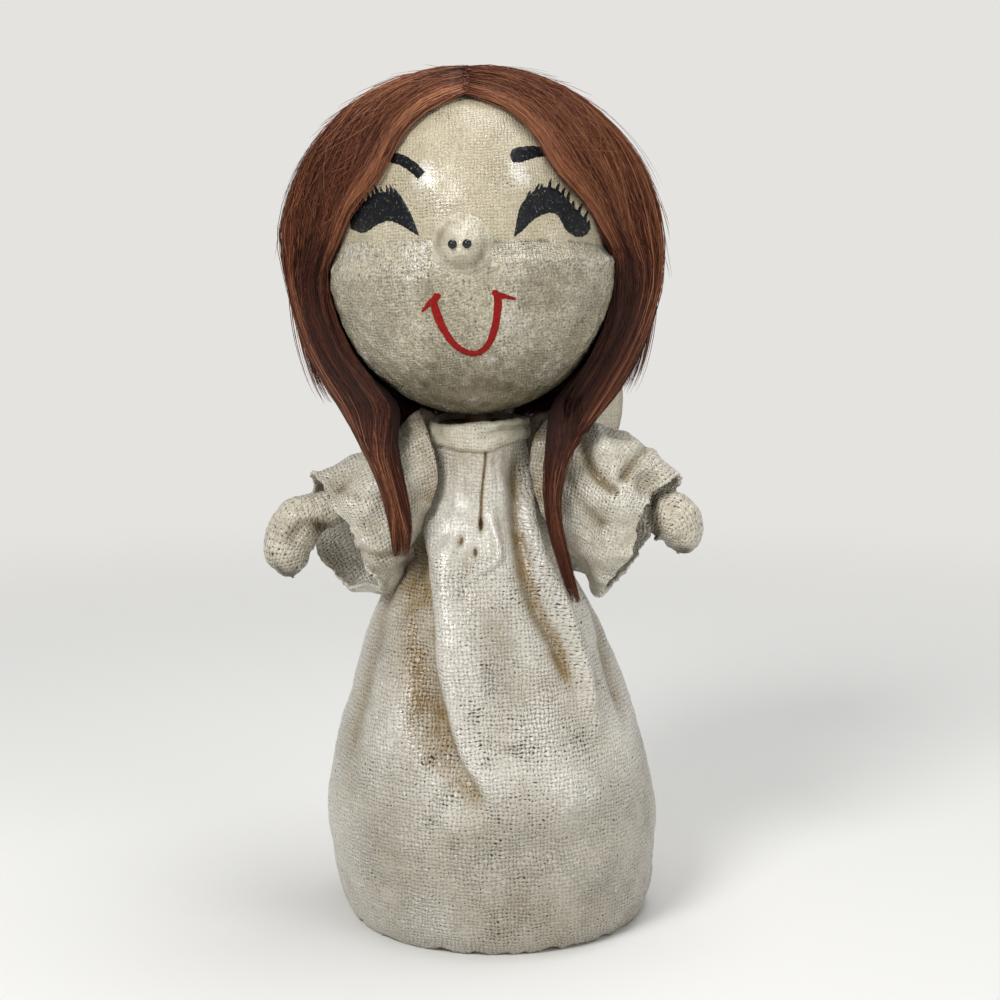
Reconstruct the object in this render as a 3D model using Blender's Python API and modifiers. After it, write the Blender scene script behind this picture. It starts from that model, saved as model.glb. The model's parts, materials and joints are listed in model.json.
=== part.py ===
"""Angel doll of stiffened cloth: a ball head with long hair on a peg, over a flared gown with bell sleeves.

Units are metres, +Z is up and the doll faces -Y. Left is -X, as the viewer sees it. The origin is
the centre of the underside. The peg leans a little to the left, and the head leans with it.
"""

import math

import bmesh
import bpy
from mathutils import Vector

# Clearances and lean
CLEARANCE = 0.0004
LEAN_DEGREES = 2.0

# Base board and peg
BASE_THICKNESS = 0.005
BASE_EDGE_ROUNDING = 0.0008
PEG_RADIUS = 0.004
PEG_FOOT_HEIGHT = 0.002
PEG_IN_HEAD = 0.060
PEG_SIDES = 20

# Gown: radius at each height of the cloth's outer side, with the hem first
GOWN_PROFILE = [
    (0.000, 0.0446),
    (0.005, 0.0468),
    (0.016, 0.0488),
    (0.032, 0.0500),
    (0.048, 0.0478),
    (0.064, 0.0432),
    (0.080, 0.0382),
    (0.095, 0.0326),
    (0.104, 0.0282),
    (0.113, 0.0234),
    (0.122, 0.0186),
    (0.131, 0.0154),
    (0.1402, 0.0140),
]
GOWN_THICKNESS = 0.0016
GOWN_FRONT_TURN = 100.0
GOWN_FRONT_SIDES = 28
GOWN_BACK_SIDES = 14
GOWN_LEVELS = 12

# Folds of the gown: depth, where less than nought stands out; reach to the left and to the right of
# the fold's line; and the line's (height, degrees round from the front) from the foot up
GOWN_FOLDS = [
    (0.0042, 0.0100, 0.0046, [
        (0.028, -8.0), (0.048, -19.0), (0.080, -27.0), (0.100, -40.0), (0.120, -73.0), (0.139, -95.0),
    ]),
    (-0.0015, 0.0030, 0.0060, [
        (0.026, 1.0), (0.048, -9.0), (0.080, -16.0), (0.100, -26.0), (0.120, -50.0), (0.139, -72.0),
    ]),
    (0.0030, 0.0050, 0.0040, [(0.056, 33.0), (0.080, 35.0), (0.108, 36.0), (0.120, 43.0), (0.139, 58.0)]),
    (-0.0022, 0.0036, 0.0050, [(0.064, 46.0), (0.083, 48.0), (0.098, 52.0), (0.114, 71.0), (0.139, 86.0)]),
    (0.0018, 0.0045, 0.0060, [(0.060, 68.0), (0.080, 72.0), (0.110, 92.0), (0.134, 104.0)]),
    (0.0016, 0.0070, 0.0070, [(0.050, -66.0), (0.092, -70.0), (0.135, -108.0)]),
    (0.0026, 0.0080, 0.0080, [(0.045, 116.0), (0.090, 115.0), (0.138, 112.0)]),
    (0.0026, 0.0080, 0.0080, [(0.045, -114.0), (0.090, -116.0), (0.138, -114.0)]),
    (0.0026, 0.0070, 0.0070, [(0.040, 154.0), (0.090, 152.0), (0.138, 142.0)]),
    (0.0024, 0.0070, 0.0070, [(0.040, -150.0), (0.090, -149.0), (0.138, -140.0)]),
]
FOLD_FADE_TOP = 0.010
FOLD_FADE_FOOT = 0.020
FOLD_FULL_RADIUS = 0.024

# Collar band
COLLAR_RADIUS = 0.01475
COLLAR_THICKNESS = 0.0024
COLLAR_HEIGHT = 0.0100
COLLAR_SWELL = 0.0006
NECK_STEM_RISE = 0.0085

# Head: half sizes of the ball, the cloth over its upper half and the padded cup of its lower half
CHIN_GAP = 0.0014
HEAD_DEPTH_RATIO = 1.05
BALL_HALF_WIDTH = 0.0380
BALL_UP = 0.0498
BALL_DOWN = 0.0424
FACE_CLOTH_THICKNESS = 0.0014
CHEEK_PAD_SIDE = 0.0041
CHEEK_PAD_UNDER = 0.0027
NECK_HOLE_ROOM = 0.0030
HEAD_SIDES = 32
HEAD_ARC_STEPS = 7

# Nose and its pins
NOSE_RADIUS = 0.0061
NOSE_SIDE_SHIFT = -0.0020
NOSE_RISE = 0.0065
NOSE_OUT = 0.0020
PIN_HEAD_RADIUS = 0.0013
PIN_SHAFT_RADIUS = 0.0004
PIN_SHAFT_LENGTH = 0.0050
PIN_SPACING = 0.0040
PIN_SIDE_SHIFT = -0.0006
PIN_SIDES = 12

# Hair: an outer ball of hair over the crown, split front to back, hanging to two front locks.
# The hairline is in degrees forward from the middle of the head, at the part, temple and cheek
HAIR_ON_CROWN = 0.0043
HAIR_ON_BACK = 0.0049
HAIR_PART_GAP = 0.0004
HAIR_EDGE_THICKNESS = 0.0014
HAIRLINE_AT_PART = 29.0
HAIRLINE_AT_TEMPLE = 34.0
TEMPLE_TURN = 48.0
HAIRLINE_AT_CHEEK = 10.0
CHEEK_TURN = 80.0
HAIR_EDGE_RISE = 2.2
HAIR_SPLIT = 0.0280
HAIR_BACK_DROP = 0.035
HAIR_BACK_FOOT_RADIUS = 0.0520
HAIR_SECTION_POINTS = 11
HAIR_CROWN_RINGS = 10

# Hair beside the lower face: drop below the head's middle, then the front edge, outermost point and
# rear edge as (x, y)
HAIR_SIDE = [
    (0.0080, (0.0450, -0.008), (0.0568, 0.006), (0.0460, 0.0270)),
    (0.0210, (0.0412, -0.011), (0.0545, 0.003), (0.0440, 0.0235)),
    (0.0320, (0.0345, -0.014), (0.0495, -0.001), (0.0395, 0.0170)),
    (0.0410, (0.0260, -0.019), (0.0440, -0.008), (0.0330, 0.0060)),
]

# Locks: drop below the head's middle, middle (x, y), half width and half thickness of each section
LOCK_LEFT = [
    (0.0500, (-0.0296, -0.0180), 0.0072, 0.0055),
    (0.0600, (-0.0260, -0.0208), 0.0054, 0.0048),
    (0.0690, (-0.0240, -0.0222), 0.0046, 0.0040),
    (0.0770, (-0.0231, -0.0226), 0.0040, 0.0032),
    (0.0840, (-0.0236, -0.0226), 0.0012, 0.0012),
]
LOCK_RIGHT = [
    (0.0490, (0.0258, -0.0178), 0.0072, 0.0055),
    (0.0570, (0.0224, -0.0200), 0.0044, 0.0046),
    (0.0660, (0.0208, -0.0218), 0.0030, 0.0036),
    (0.0745, (0.0209, -0.0230), 0.0025, 0.0031),
    (0.0830, (0.0226, -0.0250), 0.0022, 0.0027),
    (0.0980, (0.0264, -0.0290), 0.0010, 0.0010),
]

# Arm wire: its points from the left hand to the right hand, with heights from the gown's top
WIRE_RADIUS = 0.0010
WIRE_ROUTE = [
    (-0.0615, -0.0050, -0.0292),
    (-0.0608, -0.0050, -0.0232),
    (-0.0570, -0.0046, -0.0189),
    (-0.0500, -0.0037, -0.0158),
    (-0.0400, -0.0022, -0.0117),
    (-0.0220, 0.0000, -0.0047),
    (-0.0048, 0.0000, -0.0032),
    (0.0120, 0.0000, -0.0042),
    (0.0300, -0.0012, -0.0112),
    (0.0420, -0.0033, -0.0162),
    (0.0490, -0.0045, -0.0179),
    (0.0535, -0.0050, -0.0212),
    (0.0550, -0.0050, -0.0262),
]

# Hands: middle, its height from the gown's top, and radius, from the wrist to the drooping tip
HAND_LEFT = [
    ((-0.0450, -0.0026, -0.0146), 0.0050),
    ((-0.0520, -0.0034, -0.0172), 0.0060),
    ((-0.0590, -0.0044, -0.0206), 0.0075),
    ((-0.0623, -0.0050, -0.0272), 0.0074),
    ((-0.0618, -0.0050, -0.0337), 0.0054),
    ((-0.0610, -0.0050, -0.0372), 0.0016),
]
HAND_RIGHT = [
    ((0.0400, -0.0026, -0.0160), 0.0050),
    ((0.0460, -0.0036, -0.0176), 0.0060),
    ((0.0520, -0.0048, -0.0190), 0.0082),
    ((0.0550, -0.0050, -0.0232), 0.0072),
    ((0.0550, -0.0050, -0.0277), 0.0044),
    ((0.0545, -0.0050, -0.0297), 0.0014),
]
HAND_SIDES = 14

# Sleeves: bell tubes from the shoulder to the cuff. Top and bottom of the cuff are (x, z), with z
# from the gown's top
SLEEVE_THICKNESS = 0.0012
SLEEVE_SHOULDER_RISE = 0.0088
SLEEVE_SHOULDER_DROP = 0.0272
SLEEVE_SHOULDER_HALF_DEPTH = 0.0125
SLEEVE_CUFF_HALF_DEPTH = 0.0150
SLEEVE_LEFT_CUFF = ((-0.0545, -0.0057), (-0.0425, -0.0412))
SLEEVE_RIGHT_CUFF = ((0.0555, -0.0052), (0.0320, -0.0417))
SLEEVE_WAVES = 5
SLEEVE_WAVE_DEPTH = 0.0013
SLEEVE_WAVE_START = 0.6
SLEEVE_SIDES = 28
SLEEVE_RINGS = 6

# Wings: outline out from the root and up, for the right wing, and how each is set
WING_OUTLINE = [
    (0.000, -0.006),
    (0.012, -0.011),
    (0.027, -0.009),
    (0.038, 0.004),
    (0.0455, 0.020),
    (0.0450, 0.0330),
    (0.036, 0.0330),
    (0.018, 0.020),
    (0.000, 0.013),
]
WING_THICKNESS = 0.0022
WING_ROOT_DROP = 0.0152
WING_ROOT_OUT = 0.0045
WING_SWEEP_RIGHT = 30.0
WING_SWEEP_LEFT = 34.0

# Colours as linear red, green, blue with roughness
CLOTH_CREAM = ((0.72, 0.67, 0.55), 0.45)
CLOTH_FACE = ((0.60, 0.54, 0.39), 0.45)
CLOTH_HAND = ((0.52, 0.44, 0.29), 0.6)
HAIR_AUBURN = ((0.13, 0.040, 0.018), 0.5)
PIN_BLACK = ((0.01, 0.01, 0.01), 0.15)
BOARD_BROWN = ((0.30, 0.20, 0.11), 0.8)
FOAM_WHITE = ((0.75, 0.74, 0.70), 0.9)
PEG_WOOD = ((0.48, 0.33, 0.18), 0.6)
WIRE_STEEL = ((0.45, 0.44, 0.42), 0.35)

# Sizes that follow from those above
LEAN = math.radians(LEAN_DEGREES)
BASE_RADIUS = GOWN_PROFILE[0][1] - GOWN_THICKNESS - 2 * CLEARANCE
GOWN_TOP = GOWN_PROFILE[-1][0]
COLLAR_FOOT = GOWN_TOP + CLEARANCE + COLLAR_RADIUS * math.tan(LEAN)
NECK_STEM_RADIUS = COLLAR_RADIUS - COLLAR_THICKNESS - CLEARANCE
NECK_HOLE_RADIUS = PEG_RADIUS + NECK_HOLE_ROOM
FACE_HALF_WIDTH = BALL_HALF_WIDTH + CLEARANCE + FACE_CLOTH_THICKNESS
FACE_UP = BALL_UP + CLEARANCE + FACE_CLOTH_THICKNESS
CHEEK_HALF_WIDTH = BALL_HALF_WIDTH + CLEARANCE + CHEEK_PAD_SIDE
CHEEK_DOWN = BALL_DOWN + CLEARANCE + CHEEK_PAD_UNDER
HEAD_HEIGHT = COLLAR_FOOT + COLLAR_HEIGHT + CHIN_GAP + CHEEK_DOWN
HAIR_RADIUS = FACE_UP + CLEARANCE + HAIR_ON_CROWN
HAIR_HALF_DEPTH = CHEEK_HALF_WIDTH * HEAD_DEPTH_RATIO + CLEARANCE + HAIR_ON_BACK
WING_ROOT_HEIGHT = GOWN_TOP - WING_ROOT_DROP


def clear_scene():
    """Remove every object of the scene."""
    for old in list(bpy.data.objects):
        bpy.data.objects.remove(old)


def new_collection(name):
    """Add a collection to the scene."""
    collection = bpy.data.collections.new(name)
    bpy.context.scene.collection.children.link(collection)
    return collection


def material(name, finish, metallic=0.0):
    """Return a Principled material of one colour."""
    colour, roughness = finish
    made = bpy.data.materials.new(name)
    made.use_nodes = True
    shader = made.node_tree.nodes["Principled BSDF"]
    shader.inputs["Base Color"].default_value = (*colour, 1.0)
    shader.inputs["Roughness"].default_value = roughness
    shader.inputs["Metallic"].default_value = metallic
    return made


def add_mesh(name, mesh, collection, finish=None, metallic=0.0):
    """Put a mesh in a collection as a named object."""
    piece = bpy.data.objects.new(name, mesh)
    collection.objects.link(piece)
    if finish:
        mesh.materials.append(material(name, finish, metallic))
        mesh.shade_smooth()
        mesh.set_sharp_from_angle(angle=math.radians(40))
    return piece


def add_cutter(name, mesh, collection):
    """Put a mesh in the cutters' collection, out of renders."""
    cutter = add_mesh(name, mesh, collection)
    cutter.hide_render = True
    cutter.display_type = "WIRE"
    return cutter


def cut(piece, cutter, operation="DIFFERENCE"):
    """Cut one piece with another by an exact Boolean."""
    step = piece.modifiers.new(cutter.name, "BOOLEAN")
    step.operation = operation
    step.solver = "EXACT"
    step.object = cutter


def mesh_of(name, vertices, edges=(), faces=()):
    """Return a mesh of these vertices, edges and faces."""
    mesh = bpy.data.meshes.new(name)
    mesh.from_pydata([tuple(vertex) for vertex in vertices], list(edges), list(faces))
    mesh.update()
    return mesh


def loft_mesh(name, rings, close_ends=True):
    """Join rings of equal, even point counts by quads, with a strip across each closed end.

    An open tube has its outer side where each ring runs to the right, seen with the next ring above.
    """
    count = len(rings[0])
    vertices = [point for ring in rings for point in ring]
    faces = []
    for row in range(len(rings) - 1):
        for side in range(count):
            after = (side + 1) % count
            low = row * count
            high = low + count
            faces.append((low + side, low + after, high + after, high + side))
    if close_ends:
        for start in (0, len(vertices) - count):
            for side in range(count // 2 - 1):
                across = count - 1 - side
                strip = (side, side + 1, across - 1, across)
                faces.append(tuple(start + corner for corner in strip))
    mesh = mesh_of(name, vertices, faces=faces)
    if close_ends:
        shape = bmesh.new()
        shape.from_mesh(mesh)
        bmesh.ops.recalc_face_normals(shape, faces=shape.faces)
        shape.to_mesh(mesh)
        shape.free()
    return mesh


def turned(name, profile, collection, finish, closed=False, sides=HEAD_SIDES, depth_ratio=1.0):
    """Turn a profile of (radius, height) points round Z, down its outer side first."""
    vertices = [(radius, 0.0, height) for radius, height in profile]
    edges = [(step, step + 1) for step in range(len(profile) - 1)]
    if closed:
        edges.append((len(profile) - 1, 0))
    piece = add_mesh(name, mesh_of(name, vertices, edges), collection)
    piece.scale.y = depth_ratio
    screw = piece.modifiers.new("turn", "SCREW")
    screw.steps = sides
    screw.render_steps = sides
    screw.use_merge_vertices = True
    screw.merge_threshold = 0.00002
    screw.use_smooth_shade = True
    if finish:
        piece.data.materials.append(material(name, finish))
    return piece


def arc(radius, rise, middle, start, end, steps):
    """Points (radius, height) of an elliptic arc, in degrees up from the level."""
    points = []
    for step in range(steps + 1):
        angle = math.radians(start + (end - start) * step / steps)
        across = max(radius * math.cos(angle), 0.0)
        if abs(across) < 1e-7:
            across = 0.0
        points.append((across, middle + rise * math.sin(angle)))
    return points


def smooth(points, place):
    """Read a smooth curve through (place, value) points in rising order of place."""
    if place <= points[0][0]:
        return points[0][1]
    if place >= points[-1][0]:
        return points[-1][1]
    last = len(points) - 1
    index = max(step for step in range(last) if points[step][0] <= place)
    (x0, y0), (x1, y1) = points[index], points[index + 1]
    span = x1 - x0
    before = points[max(index - 1, 0)]
    after = points[min(index + 2, last)]
    slope0 = (y1 - before[1]) / (x1 - before[0])
    slope1 = (after[1] - y0) / (after[0] - x0)
    t = (place - x0) / span
    return (
        (2 * t**3 - 3 * t**2 + 1) * y0
        + (t**3 - 2 * t**2 + t) * span * slope0
        + (3 * t**2 - 2 * t**3) * y1
        + (t**3 - t**2) * span * slope1
    )


def ease(t):
    """Ease from 0 to 1 with level ends."""
    t = min(max(t, 0.0), 1.0)
    return t * t * (3.0 - 2.0 * t)


def axis_x(height):
    """Sideways place of the leaning axis at a height."""
    return -math.tan(LEAN) * height


# Gown and what it hangs on


def gown_radius(height):
    """Radius of the gown's outer side before its folds."""
    return smooth(GOWN_PROFILE, height)


def fold_strength(line, height):
    """How much of a fold's depth shows at a height, from 0 to 1."""
    foot, top = line[0][0], line[-1][0]
    strength = ease((top - height) / FOLD_FADE_TOP) * ease((height - foot) / FOLD_FADE_FOOT + 0.4)
    return strength * min(1.0, gown_radius(height) / FOLD_FULL_RADIUS)


def fold_depth(angle, height):
    """Depth of all the folds at an angle round from the front, in degrees, and a height."""
    depth = 0.0
    for deepest, left_reach, right_reach, line in GOWN_FOLDS:
        away = (angle - smooth(line, height) + 180.0) % 360.0 - 180.0
        offset = math.radians(away) * gown_radius(height)
        reach = left_reach if offset < 0.0 else right_reach
        depth += deepest * fold_strength(line, height) * math.exp(-((offset / reach) ** 2))
    return depth


def gown_angles():
    """Degrees round from the front of the gown's sides, closer together in front."""
    front_step = 2 * GOWN_FRONT_TURN / GOWN_FRONT_SIDES
    back_step = (360.0 - 2 * GOWN_FRONT_TURN) / GOWN_BACK_SIDES
    angles = [-GOWN_FRONT_TURN + front_step * side for side in range(GOWN_FRONT_SIDES)]
    return angles + [GOWN_FRONT_TURN + back_step * side for side in range(GOWN_BACK_SIDES)]


def deepest_fold(height):
    """Greatest depth of the folds at a height, taken every third degree."""
    return max(fold_depth(angle, height) for angle in range(0, 360, 3))


def highest_fold(height):
    """How far the folds stand out at most at a height, taken every third degree."""
    return max(0.0, max(-fold_depth(angle, height) for angle in range(0, 360, 3)))


def gown_heights():
    """Heights of the gown's rings from the hem to the neck."""
    heights = [0.0, GOWN_PROFILE[1][0]]
    rest = GOWN_TOP - heights[-1]
    for level in range(1, GOWN_LEVELS + 1):
        heights.append(heights[1] + rest * level / GOWN_LEVELS)
    return heights


def build_dress(collection):
    """One gathered cloth from hem to neck, as an open surface made thick inwards."""
    rings = []
    for height in gown_heights():
        ring = []
        for angle in gown_angles():
            radius = gown_radius(height) - fold_depth(angle, height)
            turn = math.radians(angle)
            place = axis_x(height) + radius * math.sin(turn)
            ring.append((place, -radius * math.cos(turn), height))
        rings.append(ring)
    dress = add_mesh("dress", loft_mesh("dress", rings, close_ends=False), collection, CLOTH_CREAM)
    thick = dress.modifiers.new("cloth", "SOLIDIFY")
    thick.thickness = GOWN_THICKNESS
    thick.offset = -1.0
    return dress


def build_body_core(collection):
    """Foam cone inside the gown, with a stem up through the collar."""
    foot = BASE_THICKNESS + CLEARANCE
    stem_top = COLLAR_FOOT + NECK_STEM_RISE
    levels = []
    for step in range(GOWN_LEVELS + 1):
        height = foot + (GOWN_TOP - foot) * step / GOWN_LEVELS
        inset = GOWN_THICKNESS + deepest_fold(height) + 2 * CLEARANCE
        levels.append((height, min(gown_radius(height) - inset, BASE_RADIUS)))
    levels.append((stem_top, NECK_STEM_RADIUS))
    levels[-2] = (GOWN_TOP, min(levels[-2][1], NECK_STEM_RADIUS))
    rings = []
    for height, radius in levels:
        ring = []
        for side in range(HEAD_SIDES):
            turn = 2 * math.pi * side / HEAD_SIDES
            ring.append((axis_x(height) + radius * math.sin(turn), -radius * math.cos(turn), height))
        rings.append(ring)
    return add_mesh("body_core", loft_mesh("body_core", rings), collection, FOAM_WHITE)


def build_base_disc(collection):
    """Board under the skirt."""
    shape = bmesh.new()
    bmesh.ops.create_cone(
        shape, cap_ends=True, segments=GOWN_FRONT_SIDES + GOWN_BACK_SIDES, radius1=BASE_RADIUS, radius2=BASE_RADIUS,
        depth=BASE_THICKNESS,
    )
    mesh = bpy.data.meshes.new("base_disc")
    shape.to_mesh(mesh)
    shape.free()
    disc = add_mesh("base_disc", mesh, collection, BOARD_BROWN)
    disc.location.z = BASE_THICKNESS / 2
    rounding = disc.modifiers.new("edge", "BEVEL")
    rounding.width = BASE_EDGE_ROUNDING
    rounding.segments = 1
    return disc


def peg_mesh(name, radius):
    """Peg of a radius, upright, from its foot in the board to its top in the head."""
    top = HEAD_HEIGHT - BALL_DOWN + PEG_IN_HEAD
    shape = bmesh.new()
    bmesh.ops.create_cone(
        shape, cap_ends=True, segments=PEG_SIDES, radius1=radius, radius2=radius, depth=top - PEG_FOOT_HEIGHT,
    )
    bmesh.ops.translate(shape, verts=shape.verts, vec=(0.0, 0.0, (top + PEG_FOOT_HEIGHT) / 2))
    mesh = bpy.data.meshes.new(name)
    shape.to_mesh(mesh)
    shape.free()
    return mesh


def from_shoulder(point):
    """Place of a point whose height is given from the gown's top."""
    return Vector(point) + Vector((0.0, 0.0, GOWN_TOP))


def wire_mesh(name, radius, ends_out):
    """Bent wire of a radius, with its end points moved out along the wire by a length."""
    points = [from_shoulder(point) for point in WIRE_ROUTE]
    points[0] += (points[0] - points[1]).normalized() * ends_out
    points[-1] += (points[-1] - points[-2]).normalized() * ends_out
    data = bpy.data.curves.new(name, "CURVE")
    data.dimensions = "3D"
    data.bevel_depth = radius
    data.bevel_resolution = 2
    data.use_fill_caps = True
    spline = data.splines.new("POLY")
    spline.points.add(len(points) - 1)
    for place, point in zip(spline.points, points):
        place.co = (*point, 1.0)
    curve = bpy.data.objects.new(name, data)
    bpy.context.scene.collection.objects.link(curve)
    bpy.context.view_layer.update()
    evaluated = curve.evaluated_get(bpy.context.evaluated_depsgraph_get())
    mesh = bpy.data.meshes.new_from_object(evaluated)
    mesh.name = name
    bpy.data.objects.remove(curve)
    shape = bmesh.new()
    shape.from_mesh(mesh)
    bmesh.ops.remove_doubles(shape, verts=shape.verts, dist=0.00001)
    bmesh.ops.recalc_face_normals(shape, faces=shape.faces)
    shape.to_mesh(mesh)
    shape.free()
    return mesh


def build_collar_band(collection):
    """Band of cloth round the neck stem, swelling a little at its middle."""
    inner = COLLAR_RADIUS - COLLAR_THICKNESS
    top = COLLAR_FOOT + COLLAR_HEIGHT
    middle = (COLLAR_FOOT + top) / 2
    profile = [
        (COLLAR_RADIUS - COLLAR_SWELL, top),
        (COLLAR_RADIUS, (top + middle) / 2),
        (COLLAR_RADIUS, middle),
        (COLLAR_RADIUS - COLLAR_SWELL, COLLAR_FOOT),
        (inner, COLLAR_FOOT),
        (inner, top),
    ]
    return turned("collar_band", profile, collection, CLOTH_CREAM, closed=True)


# Head


def build_head_core(collection):
    """Egg-shaped ball with a blind bore for the peg."""
    bore = PEG_RADIUS + CLEARANCE
    bore_top = HEAD_HEIGHT - BALL_DOWN + PEG_IN_HEAD + CLEARANCE
    lowest = math.degrees(math.acos(bore / BALL_HALF_WIDTH))
    profile = arc(BALL_HALF_WIDTH, BALL_UP, HEAD_HEIGHT, 90, 0, HEAD_ARC_STEPS)
    profile += arc(BALL_HALF_WIDTH, BALL_DOWN, HEAD_HEIGHT, 0, -lowest, HEAD_ARC_STEPS)[1:]
    profile += [(bore, bore_top), (0.0, bore_top)]
    return turned("head_core", profile, collection, FOAM_WHITE, depth_ratio=HEAD_DEPTH_RATIO)


def build_face_cloth(collection):
    """Fine cloth over the upper face, crown and back of the ball, down to the cheek ridge."""
    inner_width = BALL_HALF_WIDTH + CLEARANCE
    inner_up = BALL_UP + CLEARANCE
    foot = HEAD_HEIGHT + CLEARANCE
    profile = arc(FACE_HALF_WIDTH, FACE_UP, foot, 90, 0, HEAD_ARC_STEPS)
    profile += arc(inner_width, inner_up, foot, 0, 90, HEAD_ARC_STEPS)
    return turned("face_cloth", profile, collection, CLOTH_FACE, depth_ratio=HEAD_DEPTH_RATIO)


def build_cheek_pad(collection):
    """Padded cloth cup round the lower half of the ball, with the neck hole in its bottom."""
    inner_width = BALL_HALF_WIDTH + CLEARANCE
    inner_down = BALL_DOWN + CLEARANCE
    outer_end = math.degrees(math.acos(NECK_HOLE_RADIUS / CHEEK_HALF_WIDTH))
    inner_end = math.degrees(math.acos(NECK_HOLE_RADIUS / inner_width))
    profile = arc(CHEEK_HALF_WIDTH, CHEEK_DOWN, HEAD_HEIGHT, 0, -outer_end, HEAD_ARC_STEPS)
    profile += arc(inner_width, inner_down, HEAD_HEIGHT, -inner_end, 0, HEAD_ARC_STEPS)
    return turned("cheek_pad", profile, collection, CLOTH_FACE, closed=True, depth_ratio=HEAD_DEPTH_RATIO)


def ball_mesh(name, radius, segments, rings):
    """Ball of a radius about the origin."""
    shape = bmesh.new()
    bmesh.ops.create_uvsphere(shape, u_segments=segments, v_segments=rings, radius=radius)
    mesh = bpy.data.meshes.new(name)
    shape.to_mesh(mesh)
    shape.free()
    return mesh


def nose_middle():
    """Middle of the nose bead, out from the upper face."""
    rise = (NOSE_RISE - CLEARANCE) / FACE_UP
    across = NOSE_SIDE_SHIFT / FACE_HALF_WIDTH
    surface = FACE_HALF_WIDTH * HEAD_DEPTH_RATIO * math.sqrt(1.0 - rise**2 - across**2)
    return Vector((NOSE_SIDE_SHIFT, -surface - NOSE_OUT, HEAD_HEIGHT + NOSE_RISE))


def build_nose(collection, cutters):
    """Bead hollowed behind to sit on the face cloth, with two holes for the pins."""
    nose = add_mesh("nose", ball_mesh("nose", NOSE_RADIUS, 20, 12), collection, CLOTH_FACE)
    nose.location = nose_middle()
    seat = add_cutter("nose_seat_cutter", ball_mesh("nose_seat_cutter", 1.0, 48, 32), cutters)
    seat.location.z = HEAD_HEIGHT + CLEARANCE
    width = FACE_HALF_WIDTH + CLEARANCE
    seat.scale = (width, width * HEAD_DEPTH_RATIO, FACE_UP + CLEARANCE)
    cut(nose, seat)
    for side, place in zip(("left", "right"), pin_places()):
        hole = turned(
            "pin_hole_cutter_" + side, pin_profile(CLEARANCE, CLEARANCE), cutters, None, sides=PIN_SIDES,
        )
        hole.hide_render = True
        hole.display_type = "WIRE"
        hole.location = place
        hole.rotation_euler.x = math.radians(90)
        cut(nose, hole)
    return nose


def pin_places():
    """Middles of the two pin heads, half sunk in the front of the nose."""
    places = []
    for side in (-0.5, 0.5):
        across = PIN_SIDE_SHIFT + side * PIN_SPACING
        out = math.sqrt(NOSE_RADIUS**2 - across**2)
        places.append(nose_middle() + Vector((across, -out, 0.0)))
    return places


def pin_profile(wider, longer):
    """Profile of a ball-head pin along its axis, point down."""
    head = PIN_HEAD_RADIUS + wider
    shaft = PIN_SHAFT_RADIUS + wider
    neck = -math.degrees(math.acos(shaft / head))
    profile = arc(head, head, 0.0, 90, neck, 8)
    profile.append((shaft, -PIN_HEAD_RADIUS - PIN_SHAFT_LENGTH - longer))
    profile.append((0.0, -PIN_HEAD_RADIUS - PIN_SHAFT_LENGTH - longer))
    return profile


def build_pin(side, place, collection):
    """One nostril pin, its head out in front."""
    pin = turned("nostril_pin_" + side, pin_profile(0.0, 0.0), collection, PIN_BLACK, sides=PIN_SIDES)
    pin.location = place
    pin.rotation_euler.x = math.radians(90)
    return pin


# Hair


def hairline(turn):
    """Degrees forward from the middle of the head to the hair's front edge, at degrees from the part."""
    points = [(0.0, HAIRLINE_AT_PART), (TEMPLE_TURN, HAIRLINE_AT_TEMPLE), (90.0, HAIRLINE_AT_CHEEK)]
    return smooth(points, turn)


def crown_section(turn, sign):
    """Section of the hair in a plane through the head's front-back axis, at degrees from the part."""
    angle = math.radians(turn)
    inner_depth = FACE_HALF_WIDTH * HEAD_DEPTH_RATIO + 2 * CLEARANCE
    squash = (math.sin(angle) / FACE_HALF_WIDTH) ** 2 + (math.cos(angle) / FACE_UP) ** 2
    inner_reach = 1.0 / math.sqrt(squash) + 2 * CLEARANCE
    low_side = ease((turn - CHEEK_TURN) / (90.0 - CHEEK_TURN))
    inner_reach += low_side * (CHEEK_HALF_WIDTH - FACE_HALF_WIDTH)
    front = -math.radians(hairline(turn))
    inner_back = math.asin(HAIR_SPLIT / inner_depth)
    outer_back = math.asin(HAIR_SPLIT / HAIR_HALF_DEPTH)
    outer, inner = [], []
    for step in range(HAIR_SECTION_POINTS):
        share = step / (HAIR_SECTION_POINTS - 1)
        inner_angle = front + (inner_back - front) * share
        outer_angle = front + (outer_back - front) * share
        full = ease(share * HAIR_EDGE_RISE)
        edge_depth = inner_depth + HAIR_EDGE_THICKNESS
        edge_reach = inner_reach + HAIR_EDGE_THICKNESS
        outer_depth = edge_depth + (HAIR_HALF_DEPTH - edge_depth) * full
        outer_reach = edge_reach + (HAIR_RADIUS - edge_reach) * full
        inner.append((inner_depth * math.sin(inner_angle), inner_reach * math.cos(inner_angle)))
        outer.append((outer_depth * math.sin(outer_angle), outer_reach * math.cos(outer_angle)))
    ring = []
    for depth, reach in outer + inner[::-1]:
        across = HAIR_PART_GAP + reach * math.sin(angle)
        ring.append(Vector((sign * across, depth, HEAD_HEIGHT + CLEARANCE + reach * math.cos(angle))))
    return ring


def bow(start, middle, end, share):
    """Point of a smooth bow from start through middle to end."""
    control = 2.0 * middle - 0.5 * (start + end)
    return (1 - share) ** 2 * start + 2 * share * (1 - share) * control + share**2 * end


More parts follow.
